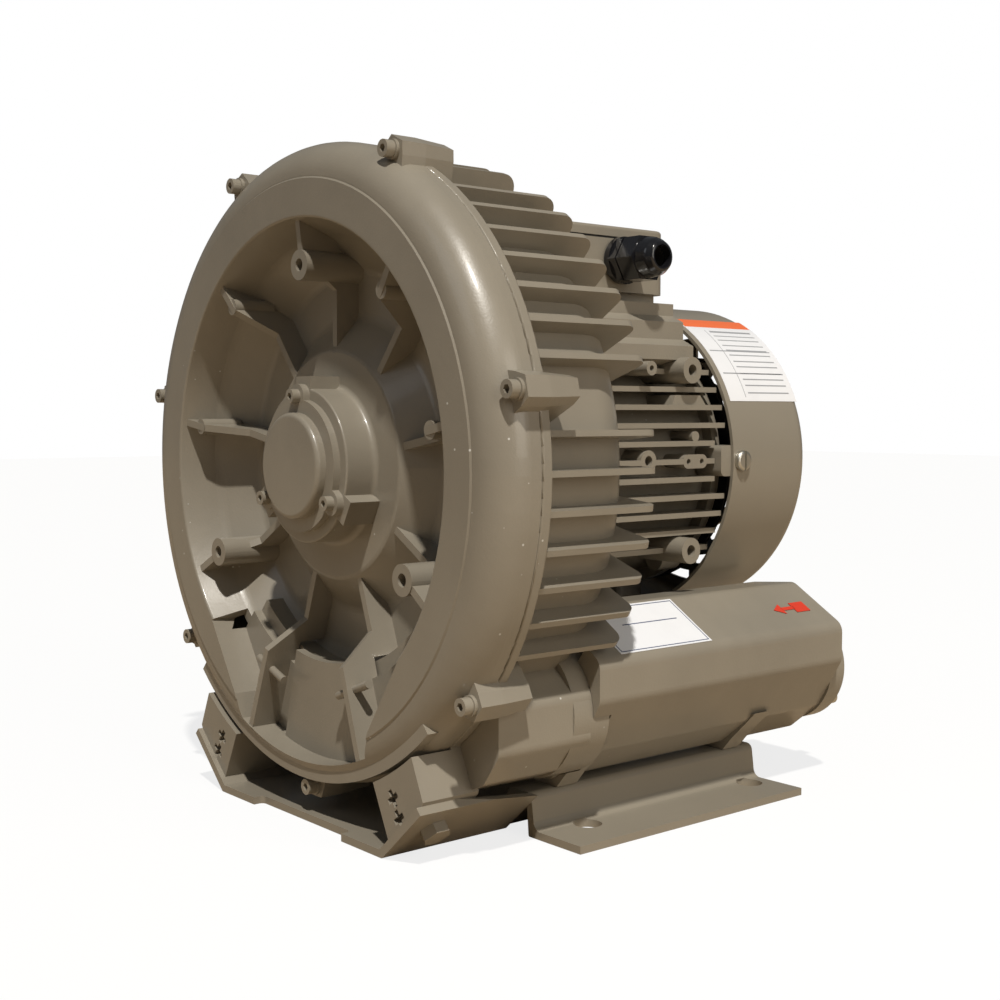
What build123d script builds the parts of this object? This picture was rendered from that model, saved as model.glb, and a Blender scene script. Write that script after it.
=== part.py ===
from build123d import *
from math import asin, atan2, cos, degrees, radians, sin, sqrt
import os

# Side channel blower, millimetres.  +Z is up and the shaft lies along Y.  The open front
# cover faces -Y and the motor and both ports face +Y.  The origin is on the floor, at the
# centre of the four foot holes.
# "depth" is a distance behind the flat front ring of the cover, and "across(depth)" is the
# plane there, with X to the right and Z up, centred on the shaft.

os.makedirs("parts", exist_ok=True)

# ---- driving sizes -------------------------------------------------------------------
shaft_height = 190.0
foot_centre_depth = 172.0
wall = 5.0
run_gap = 0.05
face_gap = 0.3

# casing and cover
cover_r = 168.5
cover_depth = 26.0
shoulder_r = 20.0
ring_step = 0.8
ring_in_r = 129.0
bowl_depth = 40.0
bowl_floor_r = 104.0
hub_disc_r = 59.0
hub_disc_depth = 24.0
hub_r = 41.0
hub_depth = 6.0
rib_pitch = 40.0
rib_t = 4.0
boss_circle_r = 105.0
boss_r = 8.0
boss_hole_r = 3.4
pad_circle_r = 114.0
lug_count = 7
lug_circle_r = 172.0
lug_r = 8.0
rear_lug_length = 18.0
casing_screw_r = 2.5
barrel_r = 154.0
flange_t = 6.0
channel_depth = 22.0
back_wall = 15.0
fin_positions = 56
fin_tip_r = 164.5
fin_t = 3.0
fin_overhang = 2.0

# rotor
impeller_gap = 1.0
impeller_width = 30.0
impeller_r = 147.0
blade_count = 36
journal_r = 12.5
impeller_seat_r = 14.0
seal_land_r = 17.0
core_seat_r = 19.0
fan_seat_r = 9.0
bearing_r = 26.0
bearing_w = 15.0
bearing_pitch_r = 19.25
ball_r = 3.9
ball_count = 8

# motor
motor_length = 146.0
frame_r = 72.0
frame_bore_r = 66.0
frame_fin_tip = 88.0
frame_fin_pitch = 10.3
frame_fin_t = 3.0
rotor_core_r = 43.0
air_gap = 0.4
core_length = 90.0
fan_cover_r = 94.6
fan_cover_length = 69.7
fan_cover_t = 2.0
fan_r = 78.0
fan_blades = 7

# terminal box
box_side = 112.0
box_height = 30.0
box_t = 4.0
box_floor = 97.0
lid_t = 6.0
gasket_t = 1.2
gland_r = 10.0
gland_bore_r = 6.5
gland_length = 34.0

# silencers and base
port_x = 95.0
port_drop = 124.0
port_hole_r = 22.4
core_tube_r = 23.2
core_tube_t = 1.6
port_flange_r = 33.5
port_flange_t = 14.0
silencer_end = 288.0
base_t = 4.0
foot_spacing_x = 222.0
foot_spacing_y = 128.0
foot_hole_r = 7.5
flange_edge = 137.7
base_start = -1.0
base_end = 250.0

# ---- places worked out from them -------------------------------------------------------
front = -foot_centre_depth
ring_out_r = cover_r - shoulder_r
chamber_front = bowl_depth + wall
impeller_front = chamber_front + impeller_gap
impeller_back = impeller_front + impeller_width
impeller_mid = (impeller_front + impeller_back) / 2
chamber_back = impeller_back + impeller_gap
channel_end = chamber_back + channel_depth
casing_end = channel_end + wall
motor_start = chamber_back + back_wall
motor_end = motor_start + motor_length
fan_cover_start = motor_end + 0.5
fan_cover_end = fan_cover_start + fan_cover_length
chamber_r = barrel_r - wall
floor_z = -shaft_height

shaft_axis = Axis((0, front, shaft_height), (0, 1, 0))
half_plane = Plane(origin=(0, front, shaft_height), x_dir=(1, 0, 0), z_dir=(0, 0, 1))
lug_angles = [-90 + k * 360 / lug_count for k in range(lug_count)]
third_angles = [90, -30, -150]


def across(depth):
    return Plane(origin=(0, front + depth, shaft_height), x_dir=(1, 0, 0), z_dir=(0, -1, 0))


def radial(angle):
    """Plane through the shaft: local x runs outwards at the angle, local y is the depth."""
    a = radians(angle)
    return Plane(origin=(0, front, shaft_height), x_dir=(cos(a), 0, sin(a)),
                 z_dir=(-sin(a), 0, cos(a)))


def spot(radius, angle):
    return (radius * cos(radians(angle)), radius * sin(radians(angle)))


def outline(plane, points, radii=0):
    """A closed face from corner points, each corner rounded by its radius."""
    with BuildSketch(plane) as face:
        with BuildLine():
            FilletPolyline(*points, radius=radii, close=True)
        make_face()
    return face.sketch


def turned(points, radii=0):
    """A half section to revolve, its points given as (radius, depth)."""
    return outline(half_plane, points, radii)


def sector(inner, outer, start, end):
    """Part of a ring between two angles, added to the sketch that is open."""
    middle = (start + end) / 2
    with BuildLine() as edge:
        Line(spot(inner, start), spot(outer, start))
        ThreePointArc(spot(outer, start), spot(outer, middle), spot(outer, end))
        Line(spot(outer, end), spot(inner, end))
        ThreePointArc(spot(inner, end), spot(inner, middle), spot(inner, start))
    make_face(edge.edges())


def discs(depth, radius, places):
    """Equal round faces on the plane at a depth."""
    with BuildSketch(across(depth)) as face:
        with Locations(*places):
            Circle(radius)
    return face.sketch


def port_centre(side):
    return (side * port_x, -port_drop)


def around_port(side, radius, angles):
    x, z = port_centre(side)
    return [(x + radius * cos(radians(a)), z + radius * sin(radians(a))) for a in angles]


def mirrored(points, side):
    return [(side * x, z) for x, z in points]


def save(piece, name):
    piece.part.label = name
    export_step(piece.part, f"parts/{name}.step")


# ---- front cover -----------------------------------------------------------------------
bowl_wall_out = [(ring_in_r, 0), (ring_in_r - 8, 22), (bowl_floor_r, bowl_depth)]
pocket_back = 20.0
pocket_block = 16.0
pocket_block_r = 105.5
pocket_r = 157.0
divider_in_r = 117.0
hub_lobe_r = 47.0
hub_lobe_w = 14.0
bearing_seat = hub_depth + bearing_w
lug_face = cover_depth - 14
spot_face_r = 5.3

with BuildPart() as front_cover:
    revolve(turned(
        [(cover_r - wall, cover_depth), (cover_r, cover_depth), (cover_r, ring_step),
         (ring_out_r + ring_step, ring_step), (ring_out_r, 0), *bowl_wall_out,
         (hub_disc_r + 20, bowl_depth), (hub_disc_r + 2, hub_disc_depth),
         (hub_r, hub_disc_depth), (hub_r, hub_depth), (bearing_r, hub_depth),
         (bearing_r, bearing_seat), (bearing_r - 5, bearing_seat),
         (bearing_r - 5, bearing_seat + wall), (50, bearing_seat + 8), (72, chamber_front),
         (bowl_floor_r + 2, chamber_front), (ring_in_r - 3, 25), (ring_in_r + wall, wall),
         (cover_r - wall, wall)],
        [0, 1, shoulder_r - 2 * ring_step, 0, 0, 1.5, 14, 6, 8, 3, 3, 1, 0, 0, 0, 0, 3, 6, 8, 14, 3,
         shoulder_r - wall]),
        axis=shaft_axis)
    # solid divider between the two ends of the channel
    with BuildSketch(across(wall - 1)):
        sector(divider_in_r, cover_r - 2, -132, -48)
    extrude(amount=-(cover_depth - wall + 1))
    # the open pocket in front of the divider
    with BuildSketch(across(-1)):
        with BuildLine():
            right = [(60, -62), (92, -92), (66, -131), spot(pocket_r, -67)]
            left = [(-x, z) for x, z in reversed(right)]
            Polyline(left[0], *left[1:], *right)
            ThreePointArc(right[-1], (0, -pocket_r), left[0])
        make_face()
    extrude(amount=-(pocket_back + 1), mode=Mode.SUBTRACT)
    with BuildSketch(across(pocket_block)):
        sector(pocket_block_r, pocket_r + 1, -104, -74)
    extrude(amount=-(pocket_back - pocket_block + 1))
    # the divider's step into the casing, close to the impeller's rim
    with BuildSketch(across(cover_depth - 1)):
        sector(bowl_floor_r + 4, chamber_r - face_gap, -132, -48)
    extrude(amount=-(chamber_front - cover_depth + 1))
    # radial ribs: level over the bowl, then rising to the ring
    rib_angles = [10 + rib_pitch * k for k in range(9)]
    long_ribs = [250, 290]
    with BuildSketch(*[radial(a) for a in rib_angles if a not in long_ribs]):
        with BuildLine():
            Polyline((hub_disc_r - 6, 26), (93, 26), (110, 5), (ring_in_r, 3), (ring_in_r - 6, 23),
                     (bowl_floor_r + 1, 42), (76, 42), (58, 29), close=True)
        make_face()
    extrude(amount=rib_t / 2, both=True)
    with BuildSketch(*[radial(a) for a in long_ribs]):
        with BuildLine():
            Polyline((hub_disc_r - 6, 26), (92, 26), (109, 4), (pocket_r + 1, 3), (pocket_r + 1, 22),
                     (bowl_floor_r + 2, 24), (bowl_floor_r + 1, 42), (76, 42), (58, 29), close=True)
        make_face()
    extrude(amount=rib_t / 2, both=True)
    # cross bars that tie the long ribs
    for low, high in ((-116, -103), (-77, -63)):
        bar = Plane(origin=across(9).from_local_coords((*spot(122, low), 0)),
                    z_dir=across(9).from_local_coords((*spot(122, high), 0))
                    - across(9).from_local_coords((*spot(122, low), 0)))
        with BuildSketch(bar):
            Circle(2.2)
        extrude(amount=2 * 122 * sin(radians((high - low) / 2)))
    # three tapped bosses and four round pads on the ribs
    extrude(discs(4, boss_r, [spot(boss_circle_r, a) for a in third_angles]), amount=-(bowl_depth - 2))
    extrude(discs(5, 4.5, [spot(pad_circle_r, a) for a in (10, 50, 130, 170)]), amount=-25)
    # hub lobes under the cap's ears
    with BuildSketch(across(hub_depth)):
        for a in third_angles:
            with BuildLine():
                Polyline(*[(r * cos(radians(a)) - w * sin(radians(a)),
                            r * sin(radians(a)) + w * cos(radians(a)))
                           for r, w in ((hub_r - 6, -hub_lobe_w / 2), (hub_lobe_r, -hub_lobe_w / 2),
                                        (hub_lobe_r, hub_lobe_w / 2), (hub_r - 6, hub_lobe_w / 2))],
                         close=True)
            make_face()
    extrude(amount=-(hub_disc_depth - hub_depth + 2))
    # casing lugs
    with BuildSketch(across(cover_depth - 14)):
        for a in lug_angles:
            with BuildLine():
                Polyline(*[(r * cos(radians(a)) - w * sin(radians(a)),
                            r * sin(radians(a)) + w * cos(radians(a)))
                           for r, w in ((cover_r - 8, -12), (lug_circle_r, -lug_r), (lug_circle_r + 6, -5),
                                        (lug_circle_r + 6, 5), (lug_circle_r, lug_r), (cover_r - 8, 12))],
                         close=True)
            make_face()
    extrude(amount=-14)
    extrude(discs(-1, boss_hole_r, [spot(boss_circle_r, a) for a in third_angles]),
            amount=-21, mode=Mode.SUBTRACT)
    extrude(discs(hub_depth - 1, casing_screw_r, [spot(36.5, a) for a in third_angles]),
            amount=-16, mode=Mode.SUBTRACT)
    extrude(discs(-1, casing_screw_r + 0.25, [spot(lug_circle_r, a) for a in lug_angles]),
            amount=-(cover_depth + 2), mode=Mode.SUBTRACT)
    extrude(discs(-1, spot_face_r, [spot(lug_circle_r, a) for a in lug_angles]),
            amount=-(lug_face + 1), mode=Mode.SUBTRACT)
save(front_cover, "front_cover")


# ---- rear casing -----------------------------------------------------------------------
duct_r = 26.0
port_face_r = 36.0
bolt_circle_r = 30.5
bolt_angles = [30, 150, 270]
leg_bolt_x = 95.0
leg_bolt_depth = 17.0
leg_bolt_r = 4.0
seal_seat = motor_start - 10
base_top = floor_z + base_t
ridge_x = 91.5
ridge_top = floor_z + 23
wing_in = (78.0, base_top)
wing_out = (109.0, floor_z + 31.5)
wing_slope = (wing_out[1] - wing_in[1]) / (wing_out[0] - wing_in[0])
wing_tilt = atan2(wing_out[1] - wing_in[1], wing_out[0] - wing_in[0])
wing_t = 4.4
wing_under = (wing_out[0] + wing_t * sin(wing_tilt), wing_out[1] - wing_t * cos(wing_tilt))
leg_heel = (82.0, wing_in[1] + 4 * wing_slope)
motor_screw_angles = [52, 128, 232, 308]
motor_screw_r = 78.0



def wing_plane(side, below=0.0):
    """Plane on a wing's top face where its bolt is, facing down and out."""
    x = leg_bolt_x + below * sin(wing_tilt)
    z = wing_in[1] + (leg_bolt_x - wing_in[0]) * wing_slope - below * cos(wing_tilt)
    return Plane(origin=(side * x, front + leg_bolt_depth, shaft_height + z), x_dir=(0, 1, 0),
                 z_dir=(side * sin(wing_tilt), 0, -cos(wing_tilt)))


fin_angles = [-90 + k * 360 / fin_positions for k in range(fin_positions)]
fin_angles = [a for a in fin_angles if a > -35 and a < 214]
lugs_twice = lug_angles + [a + 360 for a in lug_angles]
fin_angles = [a for a in fin_angles if min(abs(a - b) for b in lugs_twice) > 3]

with BuildPart() as rear_casing:
    revolve(turned(
        [(101, cover_depth), (cover_r, cover_depth), (cover_r, cover_depth + flange_t),
         (barrel_r, cover_depth + flange_t), (barrel_r, casing_end), (110, casing_end),
         (102, motor_start), (bearing_r, motor_start), (bearing_r, seal_seat),
         (bearing_r - 7, seal_seat), (bearing_r - 7, chamber_back), (101, chamber_back)],
        [0, 1, 1, 3, 28, 12, 5, 0, 0, 0, 0, 0]),
        axis=shaft_axis)
    # cooling fins
    with BuildSketch(*[radial(a) for a in fin_angles]):
        with BuildLine():
            FilletPolyline((barrel_r - 3, cover_depth + 3), (fin_tip_r, cover_depth + 3),
                           (fin_tip_r, casing_end + fin_overhang), (barrel_r - 20, casing_end + fin_overhang),
                           (barrel_r - 24, casing_end - 3), (barrel_r - 3, 74),
                           radius=[0, 0, 8, 1, 0, 0], close=True)
        make_face()
    extrude(amount=fin_t / 2, both=True)
    # screw lugs
    with BuildSketch(across(cover_depth)):
        for a in lug_angles:
            with BuildLine():
                Polyline(*[(r * cos(radians(a)) - w * sin(radians(a)),
                            r * sin(radians(a)) + w * cos(radians(a)))
                           for r, w in ((barrel_r - 2, -13), (lug_circle_r, -lug_r), (lug_circle_r + 6, -5),
                                        (lug_circle_r + 6, 5), (lug_circle_r, lug_r), (barrel_r - 2, 13))],
                         close=True)
            make_face()
    extrude(amount=-rear_lug_length, taper=4)
    # duct block under the barrel, open to both port ducts
    with BuildSketch(across(cover_depth + flange_t)):
        for side in (-1, 1):
            with BuildLine():
                FilletPolyline(*[(side * x, z) for x, z in
                                 ((50, -118), (112, -96), (130, -112), (130, -136), (118, -152), (98, -160),
                                  (50, -160))], radius=[0, 5, 8, 8, 8, 6, 0], close=True)
            make_face()
        with Locations((0, -115)):
            Rectangle(104, 45, align=(Align.CENTER, Align.MAX))
    extrude(amount=-(motor_start - cover_depth - flange_t))
    # legs with a web, seated on the wings of the base
    for side in (-1, 1):
        with BuildSketch(across(2)):
            with BuildLine():
                Polyline(*[(side * x, z) for x, z in
                           ((66, -140), (97, -128), (wing_out[0] + 1, wing_out[1] + 2), wing_out, leg_heel,
                            (66, -150))], close=True)
            make_face()
        extrude(amount=-(cover_depth + flange_t + 2))
    # flat round faces that the silencers bolt to
    extrude(discs(motor_start - 12, port_face_r, [port_centre(side) for side in (-1, 1)]),
            amount=-(casing_end - motor_start + 12))
    # the cover's room, the impeller's room and the channel behind it
    revolve(turned([(60, -2), (cover_r + 1, -2), (cover_r + 1, cover_depth), (chamber_r, cover_depth),
                    (chamber_r, channel_end), (106, channel_end), (101, chamber_back), (60, chamber_back)],
                   [0, 0, 0, 0, 23, 10, 1, 0]),
            axis=shaft_axis, mode=Mode.SUBTRACT)
    # plus-shaped recesses in the front of the legs
    for side in (-1, 1):
        with BuildSketch(across(1)):
            for x, z in ((85.5, -159.5), (90.5, -168.5)):
                with Locations(Location((side * x, z, 0), (0, 0, side * 38))):
                    Rectangle(9, 3)
                    Rectangle(3, 9)
        extrude(amount=-5, mode=Mode.SUBTRACT)
    # the divider's other half, behind the impeller
    with BuildSketch(across(chamber_back)):
        sector(100, chamber_r + 2, -114, -66)
    extrude(amount=-(channel_end - chamber_back + 1))
    # port ducts
    extrude(discs(cover_depth + flange_t + wall, duct_r, [port_centre(side) for side in (-1, 1)]),
            amount=-(casing_end - cover_depth - flange_t), mode=Mode.SUBTRACT)
    extrude(discs(casing_end + 1, 2.55, [at for side in (-1, 1) for at in around_port(side, bolt_circle_r,
                                                                                      bolt_angles)]),
            amount=17, mode=Mode.SUBTRACT)
    # tapped holes for the leg bolts
    for side in (-1, 1):
        with BuildSketch(wing_plane(side)):
            Circle(leg_bolt_r + 0.05)
        extrude(amount=-22, mode=Mode.SUBTRACT)
    # tapped holes for the casing screws and the motor's flange screws
    extrude(discs(cover_depth - 1, casing_screw_r + 0.05, [spot(lug_circle_r, a) for a in lug_angles]),
            amount=-12, mode=Mode.SUBTRACT)
    extrude(discs(motor_start + 1, 3.05, [spot(motor_screw_r, a) for a in motor_screw_angles]),
            amount=12, mode=Mode.SUBTRACT)
save(rear_casing, "rear_casing")


# ---- casing screws, with their washers --------------------------------------------------
def cap_screw(plane, shank_r, shank, head_r, head, washer=0.0):
    """One socket head screw: the plane is the face it clamps and the head stands in front."""
    with BuildPart(mode=Mode.PRIVATE) as screw:
        with BuildSketch(plane):
            Circle(shank_r)
        extrude(amount=-shank)
        if washer:
            with BuildSketch(plane):
                Circle(head_r + 0.8)
            extrude(amount=washer)
        with BuildSketch(plane.offset(washer)):
            Circle(head_r)
        extrude(amount=head)
        with BuildSketch(plane.offset(washer + head)):
            RegularPolygon(head_r * 0.52, 6)
        extrude(amount=-head * 0.6, mode=Mode.SUBTRACT)
    return screw.part


def group(pieces, name):
    """Equal loose pieces in one node."""
    whole = Compound(label=name, children=list(pieces))
    export_step(whole, f"parts/{name}.step")


group([cap_screw(across(lug_face).shift_origin(across(lug_face).from_local_coords((*spot(lug_circle_r, a),
                                                                                   0))),
                 casing_screw_r, 22, 4.25, 5, 1.8) for a in lug_angles], "casing_screws")

# ---- bearing cap on the cover's hub -----------------------------------------------------
cap_flange_t = 4.0
cap_disc_r = 28.0
cap_disc_rise = 5.5
cap_screw_circle_r = 36.5

with BuildPart() as bearing_cap:
    with BuildSketch(across(hub_depth - cap_flange_t)):
        Circle(hub_r - 6)
        for a in third_angles:
            with Locations(Location((*spot(cap_screw_circle_r - 5, a), 0), (0, 0, a))):
                SlotCenterToCenter(10, 2 * 6.5)
    extrude(amount=-cap_flange_t)
    revolve(turned([(0, hub_depth - cap_flange_t - cap_disc_rise), (cap_disc_r,
                                                                    hub_depth - cap_flange_t - cap_disc_rise),
                    (cap_disc_r, hub_depth), (0, hub_depth)], [0, 2.5, 0, 0]), axis=shaft_axis)
    revolve(turned([(0, hub_depth - cap_flange_t - cap_disc_rise + 4),
                    (cap_disc_r - 5, hub_depth - cap_flange_t - cap_disc_rise + 4),
                    (cap_disc_r - 5, hub_depth + 1), (0, hub_depth + 1)]), axis=shaft_axis,
            mode=Mode.SUBTRACT)
    extrude(discs(0, casing_screw_r + 0.25, [spot(cap_screw_circle_r, a) for a in third_angles]),
            amount=-(hub_depth + 1), mode=Mode.SUBTRACT)
save(bearing_cap, "bearing_cap")

cap_face = hub_depth - cap_flange_t
group([cap_screw(across(cap_face).shift_origin(across(cap_face).from_local_coords((*spot(cap_screw_circle_r,
                                                                                         a), 0))),
                 casing_screw_r - run_gap, 14, 3.8, 4.5) for a in third_angles], "bearing_cap_screws")

# ---- bearings: outer ring, inner ring, balls in their cage ------------------------------
groove_r = ball_r + run_gap
seat = 0.02


def bearing(start, name):
    middle = start + bearing_w / 2
    half = bearing_w / 2
    with BuildPart() as outer_ring:
        revolve(turned([(bearing_r - seat, start), (bearing_r - seat, start + bearing_w),
                        (bearing_pitch_r + 2.2, start + bearing_w),
                        (bearing_pitch_r + 2.2, start)], [0.8, 0.8, 0, 0]), axis=shaft_axis)
        with BuildSketch(half_plane) as groove:
            with Locations((bearing_pitch_r, middle)):
                Circle(groove_r)
        revolve(groove.sketch, axis=shaft_axis, mode=Mode.SUBTRACT)
    with BuildPart() as inner_ring:
        revolve(turned([(journal_r, start), (journal_r, start + bearing_w),
                        (bearing_pitch_r - 2.2, start + bearing_w),
                        (bearing_pitch_r - 2.2, start)], [0.8, 0.8, 0, 0]), axis=shaft_axis)
        with BuildSketch(half_plane) as groove:
            with Locations((bearing_pitch_r, middle)):
                Circle(groove_r)
        revolve(groove.sketch, axis=shaft_axis, mode=Mode.SUBTRACT)
    with BuildPart() as cage:
        revolve(turned([(bearing_pitch_r - 1, middle - 5), (bearing_pitch_r + 1, middle - 5),
                        (bearing_pitch_r + 1, middle + 5), (bearing_pitch_r - 1, middle + 5)]),
                axis=shaft_axis)
        for k in range(ball_count):
            x, z = spot(1, k * 360 / ball_count)
            with BuildSketch(Plane(origin=(0, front + middle, shaft_height), x_dir=(0, 1, 0),
                                   z_dir=(x, 0, z))):
                Circle(ball_r + seat)
            extrude(amount=bearing_r, mode=Mode.SUBTRACT)
    balls = []
    for k in range(ball_count):
        x, z = spot(bearing_pitch_r, k * 360 / ball_count)
        balls.append(Location((x, front + middle, shaft_height + z)) * Solid.make_sphere(ball_r, angle1=-90))
    save(outer_ring, f"{name}_outer_ring")
    save(inner_ring, f"{name}_inner_ring")
    group([cage.part, *balls], f"{name}_balls")


front_bearing_start = hub_depth
rear_bearing_start = motor_end - 13
bearing(front_bearing_start, "front_bearing")
bearing(rear_bearing_start, "rear_bearing")

# ---- rotor: shaft, impeller and what clamps it ------------------------------------------
key_w = 8.0
key_h = 7.0
key_depth = 4.0
nut_start = bearing_seat + 9
nut_t = 8.0
washer_t = 3.0
hub_front = chamber_front - 1
shaft_end = fan_cover_start + 46
core_start = motor_start + 26
clip_depth = shaft_end - 4

with BuildPart() as rotor_shaft:
    revolve(turned([(0, hub_depth), (journal_r - 0.02, hub_depth), (journal_r - 0.02, bearing_seat + 0.5),
                    (journal_r + 0.9, bearing_seat + 0.5), (journal_r + 0.9, hub_front),
                    (impeller_seat_r, hub_front),
                    (impeller_seat_r, impeller_back), (seal_land_r, impeller_back),
                    (seal_land_r, motor_start + 4), (core_seat_r, motor_start + 4),
                    (core_seat_r, core_start + core_length), (seal_land_r,
                                                                    core_start + core_length),
                    (seal_land_r, rear_bearing_start), (journal_r - 0.02, rear_bearing_start),
                    (journal_r - 0.02, rear_bearing_start + bearing_w + 1),
                    (fan_seat_r, rear_bearing_start + bearing_w + 1),
                    (fan_seat_r, shaft_end), (0, shaft_end)]), axis=shaft_axis)
    with BuildSketch(Plane.XY.offset(shaft_height + impeller_seat_r - key_depth)):
        with Locations((0, front + hub_front + 16)):
            SlotOverall(25, key_w, rotation=90)
    extrude(amount=key_depth + 1, mode=Mode.SUBTRACT)
    revolve(turned([(fan_seat_r - 1, clip_depth), (fan_seat_r + 1, clip_depth),
                    (fan_seat_r + 1, clip_depth + 1.3),
                    (fan_seat_r - 1, clip_depth + 1.3)]), axis=shaft_axis, mode=Mode.SUBTRACT)
save(rotor_shaft, "rotor_shaft")

with BuildPart() as impeller_key:
    with BuildSketch(Plane.XY.offset(shaft_height + impeller_seat_r - key_depth)):
        with Locations((0, front + hub_front + 16)):
            SlotOverall(25, key_w, rotation=90)
    extrude(amount=key_h)
save(impeller_key, "impeller_key")

pocket_in_r = 106.0
pocket_out_r = impeller_r - 3.5
pocket_depth = impeller_width / 2 - 2
pitch = 360 / blade_count

with BuildPart() as impeller:
    revolve(turned([(impeller_seat_r + 0.02, hub_front), (27, hub_front), (29, impeller_mid - 4),
                    (100, impeller_mid - 4),
                    (100, impeller_front), (impeller_r, impeller_front), (impeller_r, impeller_back),
                    (100, impeller_back), (100, impeller_mid + 4), (29, impeller_mid + 4),
                    (27, impeller_back),
                    (impeller_seat_r + 0.02, impeller_back)], [0, 1, 4, 3, 1, 0, 0, 1, 3, 4, 1, 0]),
            axis=shaft_axis)
    for depth, direction in ((impeller_front, -1), (impeller_back, 1)):
        with BuildSketch(across(depth)):
            with PolarLocations(0, blade_count):
                Polygon(spot(pocket_in_r, -pitch / 2 + 1.1), spot(pocket_out_r, -pitch / 2 + 0.8),
                        spot(pocket_out_r, pitch / 2 - 0.8), spot(pocket_in_r, pitch / 2 - 1.1), align=None)
        extrude(amount=direction * pocket_depth, mode=Mode.SUBTRACT)
    with BuildSketch(Plane.XY.offset(shaft_height)):
        with Locations((0, front + (hub_front + impeller_back) / 2)):
            Rectangle(key_w + 0.04, impeller_back - hub_front + 1)
    extrude(amount=impeller_seat_r - key_depth + key_h + 0.2, mode=Mode.SUBTRACT)
save(impeller, "impeller")

with BuildPart() as impeller_washer:
    revolve(turned([(journal_r + 0.95, hub_front - washer_t), (24, hub_front - washer_t), (24, hub_front),
                    (journal_r + 0.95, hub_front)]), axis=shaft_axis)
save(impeller_washer, "impeller_washer")

with BuildPart() as impeller_nut:
    with BuildSketch(across(hub_front - washer_t - nut_t)):
        RegularPolygon(20.5, 6, major_radius=False)
        Circle(journal_r + 0.95, mode=Mode.SUBTRACT)
    extrude(amount=-nut_t)
save(impeller_nut, "impeller_nut")

with BuildPart() as shaft_seal:
    revolve(turned([(seal_land_r + 0.08, seal_seat + 1), (seal_land_r + 1.5, seal_seat + 5),
                    (bearing_r - 1.5, seal_seat + 5),
                    (bearing_r - 1.5, seal_seat + 0.05), (bearing_r - 0.02, seal_seat + 0.05),
                    (bearing_r - 0.02, motor_start - 1), (seal_land_r + 0.08, motor_start - 1),
                    ]), axis=shaft_axis)
save(shaft_seal, "shaft_seal")


# ---- motor housing ----------------------------------------------------------------------
fin_z = [frame_fin_pitch * k for k in range(-5, 6)]
fin_envelope_r = 91.0
fins_start = motor_start + 3
side_boss_x = 90.0
big_boss = (208, 52)
low_boss = (208, -51)
small_boss = (175, 52.5)
ring_boss = (175, 1)
twin_boss = (213, 0)
tab_z = 3 * frame_fin_pitch
core_end = core_start + core_length
lug_start = motor_end - 8
cable_hole_depth = 212.0
pedestal_start = 118.0
pedestal_end = 217.0


def side_plane(x):
    """Plane across X: its local x is the depth and its local y the height over the shaft."""
    return Plane(origin=(x, front, shaft_height), x_dir=(0, 1, 0), z_dir=(1, 0, 0))


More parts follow.
